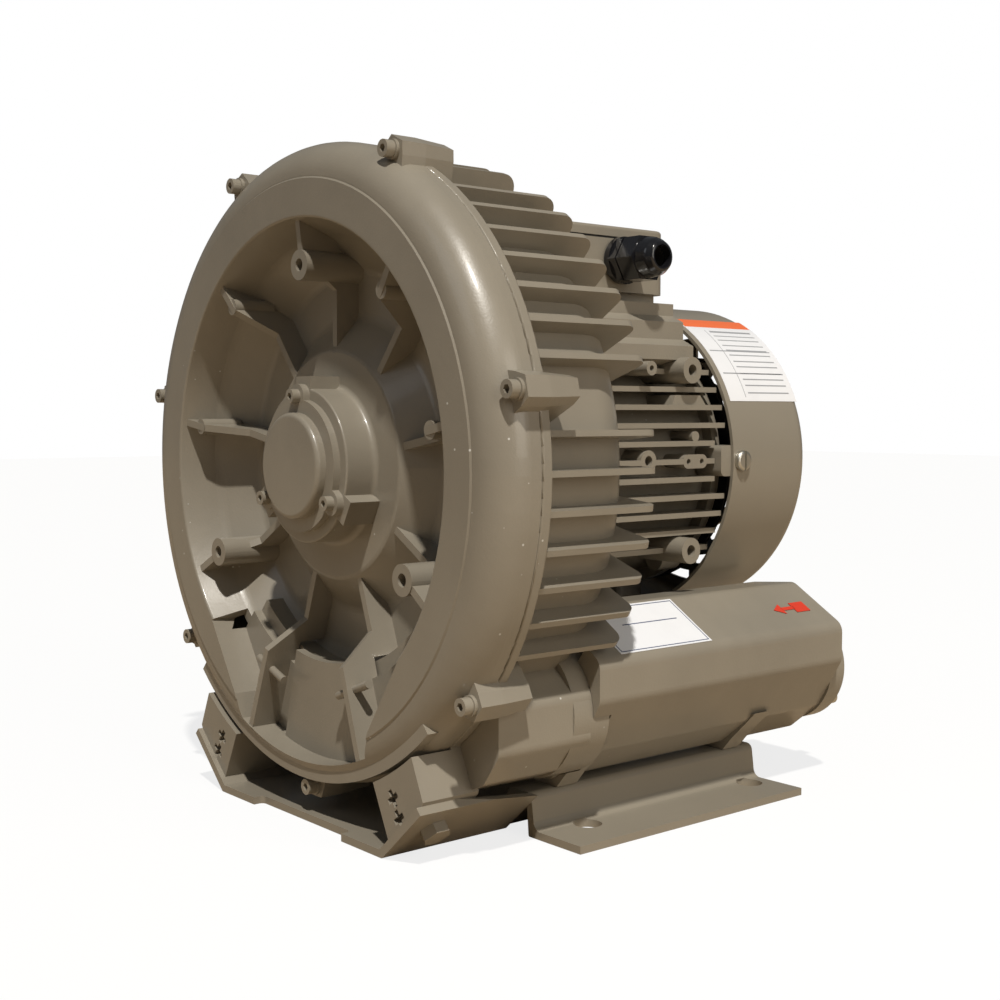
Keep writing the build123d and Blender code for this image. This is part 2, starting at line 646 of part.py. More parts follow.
with BuildPart() as motor_frame:
    revolve(turned([(frame_bore_r, motor_start), (84, motor_start), (84, motor_start + 7),
                    (frame_r, motor_start + 7),
                    (frame_r, motor_end), (frame_bore_r, motor_end)], [0, 1, 1, 0.8, 0, 0]), axis=shaft_axis)
    # cooling fins down both sides
    with BuildSketch(across(fins_start)):
        for z in fin_z:
            inside = sqrt((frame_r - 3) ** 2 - z * z)
            tip = min(frame_fin_tip, sqrt(fin_envelope_r ** 2 - z * z))
            for side in (-1, 1):
                with Locations((side * (inside + tip) / 2, z)):
                    Rectangle(tip - inside, frame_fin_t)
    extrude(amount=-(motor_end - fins_start))
    # pedestal that carries the terminal box
    with BuildSketch(across(pedestal_start)):
        with BuildLine():
            right = [(60, 52), (82, 58), (82, 66), (74, 70), (74, 80), (66, 84), (66, 91), (50, 91),
                     (50, box_floor)]
            Polyline(*right, *[(-x, z) for x, z in reversed(right)], (-30, 69), (30, 69), close=True)
        make_face()
    extrude(amount=-(pedestal_end - pedestal_start))
    # bosses for the end shield's screws
    extrude(discs(motor_end - 16, 7, [spot(motor_screw_r - 2, a) for a in motor_screw_angles]), amount=-16)
    # bosses and a tab on the +X side
    with BuildSketch(side_plane(52)):
        with Locations(big_boss, low_boss):
            Circle(7.5)
        with Locations(small_boss):
            Circle(4)
    extrude(amount=side_boss_x - 52)
    with BuildSketch(side_plane(frame_r - 2)):
        with Locations(ring_boss):
            Circle(6)
        with Locations(twin_boss):
            SlotOverall(20, 8)
        with Locations((twin_boss[0], frame_fin_pitch + 4)):
            Circle(3)
    extrude(amount=side_boss_x - frame_r)
    # flat tab on the fourth fin
    with BuildSketch(side_plane(frame_r - 10)):
        with BuildLine():
            Polyline((twin_boss[0] - 16, tab_z), (twin_boss[0] + 14, tab_z), (twin_boss[0] + 8, tab_z + 7),
                     (twin_boss[0] - 13, tab_z + 7), close=True)
        make_face()
    extrude(amount=22)
    # the end shield's side lugs and the screws need room; the wires need a way up to the box
    for side in (-1, 1):
        with BuildSketch(Plane.XY.offset(shaft_height - 12)):
            with Locations((side * (frame_r + 12.3), front + motor_end - 4)):
                Rectangle(24, 9)
        extrude(amount=24, mode=Mode.SUBTRACT)
    with BuildSketch(Plane.XY.offset(shaft_height + frame_bore_r - 8)):
        with Locations((0, front + cable_hole_depth)):
            Circle(4)
    extrude(amount=box_floor, mode=Mode.SUBTRACT)
    with BuildSketch(side_plane(side_boss_x + 1)):
        with Locations(big_boss, low_boss):
            Circle(3.3)
        with Locations(ring_boss):
            Circle(2.9)
        with Locations(small_boss, (twin_boss[0] - 5.5, 0), (twin_boss[0] + 5.5, 0)):
            Circle(1.6)
    extrude(amount=-15, mode=Mode.SUBTRACT)
    extrude(discs(motor_start - 1, 3.3, [spot(motor_screw_r, a) for a in motor_screw_angles]), amount=-9,
            mode=Mode.SUBTRACT)
    extrude(discs(motor_end + 1, 2.05, [spot(motor_screw_r - 2, a) for a in motor_screw_angles]), amount=13,
            mode=Mode.SUBTRACT)
    with BuildSketch(Plane.XY.offset(shaft_height + box_floor)):
        with Locations((0, front + 167)):
            with GridLocations(60, 70, 2, 2):
                Circle(2.1)
    extrude(amount=-12, mode=Mode.SUBTRACT)
save(motor_frame, "motor_frame")


def facing(depth, radius, angle, backwards=False):
    """Plane on a point at a depth, facing -Y, or +Y when backwards."""
    x, z = spot(radius, angle)
    return Plane(origin=(x, front + depth, shaft_height + z), x_dir=(1, 0, 0),
                 z_dir=(0, 1 if backwards else -1, 0))


group([cap_screw(facing(motor_start + 7, motor_screw_r, a, True), 3, 18, 5, 6) for a in motor_screw_angles],
      "motor_flange_screws")

# ---- stator and rotor ---------------------------------------------------------------------
with BuildPart() as stator_core:
    revolve(turned([(rotor_core_r + air_gap, core_start), (frame_bore_r - seat, core_start),
                    (frame_bore_r - seat, core_end), (rotor_core_r + air_gap, core_end)]), axis=shaft_axis)
save(stator_core, "stator_core")

winding_reach = 13.0
windings = []
for near, far in ((core_start - winding_reach, core_start), (core_end, core_end + winding_reach)):
    with BuildPart(mode=Mode.PRIVATE) as winding:
        revolve(turned([(47, near), (62, near), (62, far), (47, far)], 3), axis=shaft_axis)
    windings.append(winding.part)
group(windings, "stator_windings")

with BuildPart() as rotor_core:
    revolve(turned([(core_seat_r + seat, core_start), (rotor_core_r, core_start), (rotor_core_r, core_end),
                    (core_seat_r + seat, core_end)]), axis=shaft_axis)
save(rotor_core, "rotor_core")

cage_rings = []
for near, far in ((core_start - 8, core_start), (core_end, core_end + 8)):
    with BuildPart(mode=Mode.PRIVATE) as cage_ring:
        revolve(turned([(30, near), (41, near), (41, far), (30, far)], 1), axis=shaft_axis)
    cage_rings.append(cage_ring.part)
group(cage_rings, "rotor_cage_rings")

# ---- end shield, with the rear bearing and its wave spring ------------------------------------
rear_bearing_end = rear_bearing_start + bearing_w
spring_room = 2.4
shield_t = 8.0
shield_lug_angles = [0, 90, 180, 270]

with BuildPart() as end_shield:
    revolve(turned([(bearing_r, rear_bearing_start - 1), (32, rear_bearing_start - 1), (34, motor_end),
                    (60, motor_end), (60, motor_end - 6), (frame_bore_r - seat, motor_end - 6),
                    (frame_bore_r - seat, motor_end), (79, motor_end), (79, motor_end + shield_t),
                    (40, motor_end + shield_t),
                    (34, rear_bearing_end + spring_room + 4), (20, rear_bearing_end + spring_room + 4),
                    (20, rear_bearing_end + spring_room), (bearing_r, rear_bearing_end + spring_room)],
                   [0, 1, 2, 1, 0, 0, 0, 0, 3, 3, 2, 0, 0, 0]), axis=shaft_axis)
    for a in shield_lug_angles:
        x, z = spot(1, a)
        side_face = Plane(origin=(x * (fan_cover_r - fan_cover_t - seat), front + motor_end + 3,
                                  shaft_height + z * (fan_cover_r - fan_cover_t - seat)),
                          x_dir=(0, 1, 0), z_dir=(x, 0, z))
        with BuildSketch(side_face):
            RectangleRounded(22, 18, 4)
        extrude(amount=-(fan_cover_r - fan_cover_t - frame_r - 1))
        with BuildSketch(side_face):
            with Locations((4.5, 0)):
                Circle(2.1)
        extrude(amount=-12, mode=Mode.SUBTRACT)
    revolve(turned([(fan_cover_r - fan_cover_t - seat, lug_start - 9), (fan_cover_r, lug_start - 9),
                    (fan_cover_r, motor_end + 20), (fan_cover_r - fan_cover_t - seat, motor_end + 20)]),
            axis=shaft_axis, mode=Mode.SUBTRACT)
    extrude(discs(motor_end - 1, 2.7, [spot(motor_screw_r - 2, a) for a in motor_screw_angles]), amount=-12,
            mode=Mode.SUBTRACT)
save(end_shield, "end_shield")

group([cap_screw(facing(motor_end + shield_t, motor_screw_r - 2, a, True), 2, 18, 4.25, 5)
       for a in motor_screw_angles], "end_shield_screws")

with BuildPart() as wave_spring:
    revolve(turned([(22, rear_bearing_end + 0.1), (25.5, rear_bearing_end + 0.1),
                    (25.5, rear_bearing_end + spring_room - 0.1), (22,
                                                                   rear_bearing_end + spring_room - 0.1)],
                   0.9),
            axis=shaft_axis)
save(wave_spring, "wave_spring")

# ---- cooling fan, its clip and its cover --------------------------------------------------------
fan_start = motor_end + 16
fan_end = clip_depth - 0.1
with BuildPart() as cooling_fan:
    revolve(turned([(fan_seat_r + seat, fan_start), (fan_r, fan_start), (fan_r, fan_start + 3),
                    (22, fan_start + 4),
                    (17, fan_end), (fan_seat_r + seat, fan_end)], [0, 1, 1, 4, 1, 0]), axis=shaft_axis)
    with BuildSketch(across(fan_start + 2)):
        with PolarLocations(0, fan_blades):
            with Locations((46, 0)):
                Rectangle(60, 2.6)
    extrude(amount=-22)
save(cooling_fan, "cooling_fan")

with BuildPart() as fan_clip:
    with BuildSketch(across(clip_depth + 0.05)):
        Circle(12)
        Circle(fan_seat_r - 1 + seat, mode=Mode.SUBTRACT)
        with Locations((0, -10)):
            Rectangle(8, 12, mode=Mode.SUBTRACT)
    extrude(amount=-1.2)
save(fan_clip, "fan_clip")

grille_rings = [(22, 30), (36, 44), (50, 58), (64, 72), (77, 83)]
grille_spokes = 8
with BuildPart() as fan_cover:
    revolve(turned([(fan_cover_r - fan_cover_t, fan_cover_start), (fan_cover_r, fan_cover_start),
                    (fan_cover_r, fan_cover_end), (0, fan_cover_end), (0, fan_cover_end - fan_cover_t),
                    (fan_cover_r - fan_cover_t, fan_cover_end - fan_cover_t)], [0, 0, 10, 0, 0, 8]),
            axis=shaft_axis)
    with BuildSketch(across(fan_cover_end - fan_cover_t - 1)):
        for inner, outer in reversed(grille_rings):
            Circle(outer)
            Circle(inner, mode=Mode.SUBTRACT)
        with PolarLocations(0, grille_spokes // 2):
            Rectangle(2 * fan_cover_r, 5, mode=Mode.SUBTRACT)
    extrude(amount=-4, mode=Mode.SUBTRACT)
    for a in shield_lug_angles:
        x, z = spot(1, a)
        with BuildSketch(Plane(origin=(x * 80, front + motor_end + 7.5, shaft_height + z * 80),
                               x_dir=(0, 1, 0), z_dir=(x, 0, z))):
            Circle(2.8)
        extrude(amount=20, mode=Mode.SUBTRACT)
save(fan_cover, "fan_cover")

pan_head_r = 6.0
pan_head_h = 3.2
pan_screws = []
for a in shield_lug_angles:
    x, z = spot(1, a)
    seat_face = Plane(origin=(x * fan_cover_r, front + motor_end + 7.5, shaft_height + z * fan_cover_r),
                      x_dir=(0, 1, 0), z_dir=(x, 0, z))
    with BuildPart(mode=Mode.PRIVATE) as pan_screw:
        with BuildSketch(seat_face):
            Circle(2)
        extrude(amount=-11)
        with BuildSketch(seat_face):
            Circle(pan_head_r)
        extrude(amount=pan_head_h)
        fillet(pan_screw.faces().sort_by(Axis((0, 0, 0), (x, 0, z)))[-1].edges(), 1.8)
        with BuildSketch(seat_face.offset(pan_head_h)):
            Rectangle(1.5, 2 * pan_head_r + 1)
        extrude(amount=-1.6, mode=Mode.SUBTRACT)
    pan_screws.append(pan_screw.part)
group(pan_screws, "fan_cover_screws")

# ---- terminal box ------------------------------------------------------------------------------
box_y = front + 167
box_bottom = shaft_height + box_floor
box_top = box_bottom + box_height
lid_bottom = box_top + gasket_t
box_width = 110.0
pillar_x = box_side - 20
pillar_y = box_width - 20
gland_y = front + 183
gland_z = box_bottom + 17.5

with BuildPart() as terminal_box:
    with BuildSketch(Plane.XY.offset(box_bottom)):
        with Locations((0, box_y)):
            RectangleRounded(box_side, box_width, 9)
    extrude(amount=box_height)
    with BuildSketch(Plane.XY.offset(box_bottom + box_t)):
        with Locations((0, box_y)):
            RectangleRounded(box_side - 2 * box_t, box_width - 2 * box_t, 5)
            with GridLocations(pillar_x, pillar_y, 2, 2):
                Circle(7, mode=Mode.SUBTRACT)
    extrude(amount=box_height, mode=Mode.SUBTRACT)
    with BuildSketch(Plane.XY.offset(box_top)):
        with Locations((0, box_y)):
            with GridLocations(pillar_x, pillar_y, 2, 2):
                Circle(1.65)
    extrude(amount=-16, mode=Mode.SUBTRACT)
    with BuildSketch(Plane.XY.offset(box_bottom - 1)):
        with Locations((0, front + cable_hole_depth - 2)):
            Circle(6)
        with Locations((0, box_y)):
            with GridLocations(60, 70, 2, 2):
                Circle(2.7)
    extrude(amount=box_t + 2, mode=Mode.SUBTRACT)
    with BuildSketch(Plane(origin=(box_side / 2 + 1, gland_y, gland_z), x_dir=(0, 1, 0), z_dir=(1, 0, 0))):
        Circle(gland_r)
    extrude(amount=-box_t - 2, mode=Mode.SUBTRACT)
save(terminal_box, "terminal_box")

with BuildPart() as box_gasket:
    with BuildSketch(Plane.XY.offset(box_top)):
        with Locations((0, box_y)):
            RectangleRounded(box_side - 2, box_width - 2, 8)
            RectangleRounded(box_side - 2 * box_t - 1, box_width - 2 * box_t - 1, 5, mode=Mode.SUBTRACT)
            with GridLocations(pillar_x, pillar_y, 2, 2):
                Circle(6)
                Circle(2.3, mode=Mode.SUBTRACT)
    extrude(amount=gasket_t)
save(box_gasket, "box_gasket")

with BuildPart() as box_lid:
    with BuildSketch(Plane.XY.offset(lid_bottom)):
        with Locations((0, box_y)):
            RectangleRounded(box_side, box_width, 9)
    extrude(amount=lid_t)
    fillet(box_lid.faces().sort_by(Axis.Z)[-1].edges(), 2)
    with BuildSketch(Plane.XY.offset(lid_bottom - 1)):
        with Locations((0, box_y)):
            with GridLocations(pillar_x, pillar_y, 2, 2):
                Circle(2.3)
    extrude(amount=lid_t + 2, mode=Mode.SUBTRACT)
    with BuildSketch(Plane.XY.offset(lid_bottom + lid_t - 2)):
        with Locations((0, box_y)):
            with GridLocations(pillar_x, pillar_y, 2, 2):
                Circle(4.6)
    extrude(amount=4, mode=Mode.SUBTRACT)
save(box_lid, "box_lid")

corners = [(x * pillar_x / 2, y * pillar_y / 2) for x in (-1, 1) for y in (-1, 1)]
group([cap_screw(Plane(origin=(x, box_y + y, lid_bottom + lid_t - 2), z_dir=(0, 0, 1)), 1.6, 16, 3.8, 2.4)
       for x, y in corners], "box_lid_screws")
group([cap_screw(Plane(origin=(x, box_y + y, box_bottom + box_t), z_dir=(0, 0, 1)), 2, 14, 4, 4)
       for x in (-30, 30) for y in (-35, 35)], "box_screws")

block_y = box_y - 4
block_height = 11.0
stud_r = 2.0
stud_places = [(16 * i, 9 * j) for i in (-1, 0, 1) for j in (-1, 1)]
with BuildPart() as terminal_block:
    with BuildSketch(Plane.XY.offset(box_bottom + box_t)):
        with Locations((0, block_y)):
            RectangleRounded(52, 36, 3)
    extrude(amount=block_height)
    with BuildSketch(Plane.XY.offset(box_bottom + box_t + block_height)):
        with Locations((-8, block_y), (8, block_y)):
            Rectangle(1.6, 36)
    extrude(amount=3)
    with BuildSketch(Plane.XY.offset(box_bottom + box_t + 3)):
        with Locations(*[(x, block_y + y) for x, y in stud_places]):
            Circle(stud_r)
    extrude(amount=block_height, mode=Mode.SUBTRACT)
save(terminal_block, "terminal_block")

studs = []
for x, y in stud_places:
    with BuildPart(mode=Mode.PRIVATE) as stud:
        with BuildSketch(Plane(origin=(x, block_y + y, box_bottom + box_t + 3), z_dir=(0, 0, 1))):
            Circle(stud_r)
        extrude(amount=19)
        with BuildSketch(Plane(origin=(x, block_y + y, box_bottom + box_t + block_height), z_dir=(0, 0, 1))):
            RegularPolygon(3.5, 6, major_radius=False)
        extrude(amount=3.2)
    studs.append(stud.part)
group(studs, "terminal_studs")

# ---- cable gland ---------------------------------------------------------------------------------
gland_start = box_side / 2
gland_axis = Axis((0, gland_y, gland_z), (1, 0, 0))


def gland_turned(points, radii=0):
    """A half section about the gland's axis, its points given as (distance along X, radius)."""
    plane = Plane(origin=(0, gland_y, gland_z), x_dir=(1, 0, 0), z_dir=(0, -1, 0))
    return outline(plane, points, radii)


def gland_face(x):
    return Plane(origin=(x, gland_y, gland_z), x_dir=(0, 1, 0), z_dir=(1, 0, 0))


hex_across = 24.0
with BuildPart() as gland_body:
    revolve(gland_turned([(gland_start - 12, gland_bore_r + 1), (gland_start - 12, gland_r - seat),
                          (gland_start + 1.5, gland_r - seat),
                          (gland_start + 1.5, 13.5), (gland_start + 5, 13.5), (gland_start + 5, gland_r),
                          (gland_start + 20, gland_r), (gland_start + 20, gland_bore_r + 2.3),
                          (gland_start + 8, gland_bore_r + 2.3), (gland_start + 6, gland_bore_r + 1)]),
            axis=gland_axis)
    with BuildSketch(gland_face(gland_start + 4)):
        RegularPolygon(hex_across / 2, 6, major_radius=False)
        Circle(gland_r - 1, mode=Mode.SUBTRACT)
    extrude(amount=6)
save(gland_body, "gland_body")

with BuildPart() as gland_washer:
    with BuildSketch(gland_face(gland_start)):
        Circle(12.5)
        Circle(gland_r + seat, mode=Mode.SUBTRACT)
    extrude(amount=1.5)
save(gland_washer, "gland_washer")

with BuildPart() as gland_locknut:
    with BuildSketch(gland_face(gland_start - box_t)):
        RegularPolygon(hex_across / 2, 6, major_radius=False)
        Circle(gland_r + seat, mode=Mode.SUBTRACT)
    extrude(amount=-5)
save(gland_locknut, "gland_locknut")

with BuildPart() as gland_seal:
    revolve(gland_turned([(gland_start + 9, gland_bore_r), (gland_start + 9, gland_bore_r + 2.2),
                          (gland_start + 24, gland_bore_r + 2.2),
                          (gland_start + 28, gland_bore_r + 1.2), (gland_start + 28, gland_bore_r)]),
            axis=gland_axis)
save(gland_seal, "gland_seal")

with BuildPart() as gland_nut:
    with BuildSketch(gland_face(gland_start + 11)):
        RegularPolygon(hex_across / 2, 6, major_radius=False)
    extrude(amount=12)
    revolve(gland_turned([(gland_start + 22, 0), (gland_start + 22, 11.8), (gland_start + 30, 10.5),
                          (gland_start + gland_length, 8), (gland_start + gland_length, 0)],
                         [0, 0, 4, 2, 0]), axis=gland_axis)
    revolve(gland_turned([(gland_start + 10, 0), (gland_start + 10, gland_r + seat),
                          (gland_start + 24, gland_r + seat),
                          (gland_start + 28.2, gland_bore_r + 1.4), (gland_start + 28.2, gland_bore_r),
                          (gland_start + 40, gland_bore_r), (gland_start + 40, 0)]), axis=gland_axis,
            mode=Mode.SUBTRACT)
save(gland_nut, "gland_nut")

# ---- silencers, one behind each port ---------------------------------------------------------------
silencer_t = 4.0
silencer_gasket_t = 1.0
silencer_start = casing_end + silencer_gasket_t
skirt_start = motor_start + 0.5
silencer_shape = [(66, -77), (100, -74), (136, -96), (136, -117), (119, -146), (98, -163), (70, -163),
                  (54, -148), (54, -96)]
flange_screw_r = 28.0
pad_w = 14.0
pad_starts = [96.0, 225.0]
port_end = silencer_end + port_flange_t


def silencer_inside(side, depth, inset):
    return offset(outline(across(depth), mirrored(silencer_shape, side), 8), -inset, kind=Kind.INTERSECTION,
                  mode=Mode.PRIVATE)


gaskets = []
silencer_bolts = []
flange_screws = []
foot_screws = []
for side, name in ((1, "outlet"), (-1, "inlet")):
    bolts = around_port(side, bolt_circle_r, bolt_angles)
    with BuildPart() as housing:
        extrude(outline(across(skirt_start), mirrored(silencer_shape, side), 8),
                amount=-(silencer_end - skirt_start))
        # two arms that stand on the ridge of the base
        with BuildSketch(*[across(start) for start in pad_starts]):
            with BuildLine():
                FilletPolyline(*mirrored([(76, -158), (124, -142), (106, -160), (100, ridge_top),
                                          (83, ridge_top),
                                          (81, -160)], side), radius=[0, 0, 8, 0, 0, 0], close=True)
            make_face()
        extrude(amount=-pad_w)
        # the skirt goes round the casing's back and its round face
        revolve(turned([(90, skirt_start - 1), (barrel_r + 0.5, skirt_start - 1),
                        (barrel_r + 0.5, silencer_start),
                        (90, silencer_start)]), axis=shaft_axis, mode=Mode.SUBTRACT)
        extrude(discs(skirt_start - 1, port_face_r + 0.4, [port_centre(side)]),
                amount=-(silencer_start - skirt_start + 1),
                mode=Mode.SUBTRACT)
        extrude(silencer_inside(side, silencer_start + 6, silencer_t),
                amount=-(silencer_end - silencer_start - 12),
                mode=Mode.SUBTRACT)
        extrude(discs(silencer_start - 1, duct_r, [port_centre(side)]), amount=-8, mode=Mode.SUBTRACT)
        extrude(discs(silencer_end + 1, core_tube_r, [port_centre(side)]), amount=8, mode=Mode.SUBTRACT)
        extrude(discs(silencer_start - 1, 2.8, bolts), amount=-8, mode=Mode.SUBTRACT)
        extrude(discs(silencer_end + 1, 2.55, around_port(side, flange_screw_r, (45, 135, 225, 315))),
                amount=8,
                mode=Mode.SUBTRACT)
        with BuildSketch(Plane.XY.offset(shaft_height + ridge_top - 1)):
            with Locations(*[(side * ridge_x, front + start + pad_w / 2) for start in pad_starts]):
                Circle(2.05)
        extrude(amount=6.2, mode=Mode.SUBTRACT)
    save(housing, f"{name}_silencer")
    with BuildPart() as core_tube:
        with BuildSketch(across(silencer_start + 6)):
            with Locations(port_centre(side)):
                Circle(core_tube_r + core_tube_t)
                Circle(core_tube_r, mode=Mode.SUBTRACT)
        extrude(amount=-(silencer_end - silencer_start - 12))
    save(core_tube, f"{name}_core_tube")
    with BuildPart() as foam_sleeve:
        extrude(silencer_inside(side, silencer_start + 13, silencer_t + face_gap),
                amount=-(silencer_end - silencer_start - 20))
        extrude(discs(silencer_start, core_tube_r + core_tube_t + 0.2, [port_centre(side)]),
                amount=-(silencer_end - silencer_start),
                mode=Mode.SUBTRACT)
    save(foam_sleeve, f"{name}_foam_sleeve")
    with BuildPart() as port_flange:
        with BuildSketch(across(silencer_end)):
            with Locations(port_centre(side)):
                Circle(port_flange_r)
        extrude(amount=-port_flange_t)
        fillet(port_flange.edges().sort_by(Axis.Y)[-1], 2)
        extrude(discs(silencer_end - 1, port_hole_r, [port_centre(side)]), amount=-(port_flange_t + 2),
                mode=Mode.SUBTRACT)
        extrude(discs(silencer_end - 1, 3.2, around_port(side, flange_screw_r, (45, 135, 225, 315))),
                amount=-(port_flange_t + 2), mode=Mode.SUBTRACT)
    save(port_flange, f"{name}_port_flange")
    with BuildPart(mode=Mode.PRIVATE) as gasket:
        with BuildSketch(across(casing_end)):
            with Locations(port_centre(side)):
                Circle(35)
                Circle(duct_r, mode=Mode.SUBTRACT)
            with Locations(*bolts):
                Circle(2.8, mode=Mode.SUBTRACT)
        extrude(amount=-silencer_gasket_t)
    gaskets.append(gasket.part)
    for x, z in bolts:
        plane = Plane(origin=(x, front + silencer_start + 6, shaft_height + z), x_dir=(1, 0, 0),
                      z_dir=(0, 1, 0))
        silencer_bolts.append(cap_screw(plane, 2.5, 20, 4.25, 5))
    for x, z in around_port(side, flange_screw_r, (45, 135, 225, 315)):
        plane = Plane(origin=(x, front + port_end, shaft_height + z), x_dir=(1, 0, 0), z_dir=(0, 1, 0))
        flange_screws.append(cap_screw(plane, 2.5, 19, 4.25, 5))
    for start in pad_starts:
        plane = Plane(origin=(side * ridge_x, front + start + pad_w / 2, shaft_height + ridge_top - base_t),
                      z_dir=(0, 0, -1))
        foot_screws.append(cap_screw(plane, 2, 8.5, 4, 4))
group(gaskets, "silencer_gaskets")
group(silencer_bolts, "silencer_bolts")
group(flange_screws, "port_flange_screws")
group(foot_screws, "silencer_foot_screws")

# ---- base plate ----------------------------------------------------------------------------------------
wing_end = 78.0
wing_level_end = 24.0
recess_x = 44.0
recess_depth = 6.0


def base_section(right):
    """A pressed sheet's section: its right half, mirrored."""
    with BuildLine() as edge:
        FilletPolyline(*[point for point, _ in right], *[(-x, z) for (x, z), _ in reversed(right)],
                       radius=[r for _, r in right] + [r for _, r in reversed(right)], close=True)
    make_face(edge.edges())


with BuildPart() as base_plate:
    with BuildSketch(across(wing_end)):
        base_section([((77, floor_z), 4), ((86, ridge_top - base_t), 1), ((97, ridge_top - base_t), 1),
                      ((98.5, floor_z), 1),
                      ((flange_edge, floor_z), 0), ((flange_edge, base_top), 0), ((103, base_top), 5),
                      ((100.5, ridge_top), 4),
                      ((83, ridge_top), 4), ((75, base_top), 4)])
    extrude(amount=-(base_end - wing_end))
    with BuildSketch(across(base_start)):
        base_section([((wing_under[0] - (wing_under[1] - floor_z) / wing_slope, floor_z), 2), (wing_under, 0),
                      (wing_out, 0), (wing_in, 0)])
    extrude(amount=-(wing_end - base_start))
    # the wings fall towards the ridge
    with BuildSketch(Plane.YZ):
        with BuildLine():
            Polyline((front + wing_level_end, wing_out[1] + shaft_height),
                     (front + wing_end, ridge_top + shaft_height),
                     (front + wing_end, shaft_height - 150), (front + wing_level_end, shaft_height - 150),
                     close=True)
        make_face()
    extrude(amount=150, both=True, mode=Mode.SUBTRACT)
    # recess in the front edge
    with BuildSketch(Plane.XY.offset(-1)):
        with Locations((0, front + base_start)):
            RectangleRounded(2 * recess_x, 2 * recess_depth, 3)
    extrude(amount=base_t + 2, mode=Mode.SUBTRACT)
    with BuildSketch(Plane.XY.offset(shaft_height + ridge_top + 1)):
        with Locations(*[(side * ridge_x, front + start + pad_w / 2) for start in pad_starts for side in (-1, 1)]):
            Circle(2.3)
    extrude(amount=-(base_t + 2), mode=Mode.SUBTRACT)
    for side in (-1, 1):
        with BuildSketch(wing_plane(side)):
            Circle(leg_bolt_r + 0.4)
        extrude(amount=8, both=True, mode=Mode.SUBTRACT)
    with BuildSketch(Plane.XY.offset(-1)):
        with GridLocations(foot_spacing_x, foot_spacing_y, 2, 2):
            Circle(foot_hole_r)
    extrude(amount=base_t + 2, mode=Mode.SUBTRACT)
save(base_plate, "base_plate")

# ---- leg bolts, up through the wings -----------------------------------------------------
leg_bolts = []
for side in (-1, 1):
    with BuildPart(mode=Mode.PRIVATE) as leg_bolt:
        with BuildSketch(wing_plane(side, wing_t)):
            RegularPolygon(6.5, 6, major_radius=False)
        extrude(amount=5.3)
        with BuildSketch(wing_plane(side, wing_t)):
            Circle(leg_bolt_r)
        extrude(amount=-22)
    leg_bolts.append(leg_bolt.part)
group(leg_bolts, "leg_bolts")
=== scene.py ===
"""Side channel blower: finishes, threads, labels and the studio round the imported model."""

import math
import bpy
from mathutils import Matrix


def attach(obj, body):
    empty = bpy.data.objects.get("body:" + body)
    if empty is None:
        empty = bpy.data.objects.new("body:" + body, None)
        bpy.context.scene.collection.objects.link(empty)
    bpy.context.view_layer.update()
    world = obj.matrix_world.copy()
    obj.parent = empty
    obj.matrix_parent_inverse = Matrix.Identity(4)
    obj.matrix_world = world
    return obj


bl_info = {
    "name": "Side Channel Blower",
    "version": (1, 0, 0),
    "blender": (4, 5, 0),
    "location": "3D View > Sidebar > Blower",
    "description": "Paints the blower's castings and metals, cuts its port threads and adds labels and a stage",
    "category": "Object",
}

import bmesh
import bpy
from bpy.props import FloatProperty, FloatVectorProperty, PointerProperty
from mathutils import Matrix, Vector

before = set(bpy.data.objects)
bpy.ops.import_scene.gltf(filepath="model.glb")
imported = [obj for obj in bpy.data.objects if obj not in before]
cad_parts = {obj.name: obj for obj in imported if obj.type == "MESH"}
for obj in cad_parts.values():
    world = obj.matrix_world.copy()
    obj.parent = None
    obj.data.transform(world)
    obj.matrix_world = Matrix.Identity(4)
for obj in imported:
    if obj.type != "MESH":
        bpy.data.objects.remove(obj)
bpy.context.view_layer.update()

# Height of the shaft's line above the floor, in metres.
SHAFT_HEIGHT = 0.190

CAST = ["front_cover", "rear_casing", "bearing_cap", "terminal_box", "box_lid", "inlet_silencer", "outlet_silencer",
        "inlet_port_flange", "outlet_port_flange"]
ROUGH_CAST = ["motor_frame", "end_shield"]
SHEET = ["base_plate", "fan_cover"]
PAINTED_SCREWS = ["casing_screws", "bearing_cap_screws", "leg_bolts", "box_lid_screws", "silencer_foot_screws"]
ZINC_SCREWS = ["fan_cover_screws", "motor_flange_screws", "end_shield_screws", "box_screws", "silencer_bolts",
               "port_flange_screws"]
POLISHED = ["front_bearing_outer_ring", "front_bearing_inner_ring", "front_bearing_balls", "rear_bearing_outer_ring",
            "rear_bearing_inner_ring", "rear_bearing_balls", "wave_spring"]
TURNED = ["rotor_shaft", "impeller_key", "impeller_nut", "impeller_washer", "fan_clip"]
RAW_ALUMINIUM = ["impeller", "rotor_cage_rings", "inlet_core_tube", "outlet_core_tube"]
LAMINATED = ["rotor_core", "stator_core"]
RUBBER = ["box_gasket", "silencer_gaskets", "shaft_seal", "gland_seal", "gland_washer"]
GLAND = ["gland_body", "gland_nut", "gland_locknut"]


# ---- small helpers ---------------------------------------------------------------------------

def deselect():
    """Nothing selected, and object mode."""
    if bpy.context.mode != "OBJECT":
        bpy.ops.object.mode_set(mode="OBJECT")
    bpy.ops.object.select_all(action="DESELECT")


def activate(piece):
    """Only this piece selected and active."""
    deselect()
    piece.select_set(True)
    bpy.context.view_layer.objects.active = piece
    return piece


def named(name):
    """The primitive just added, under its own name."""
    piece = bpy.context.active_object
    piece.name = name
    piece.data.name = name
    return piece


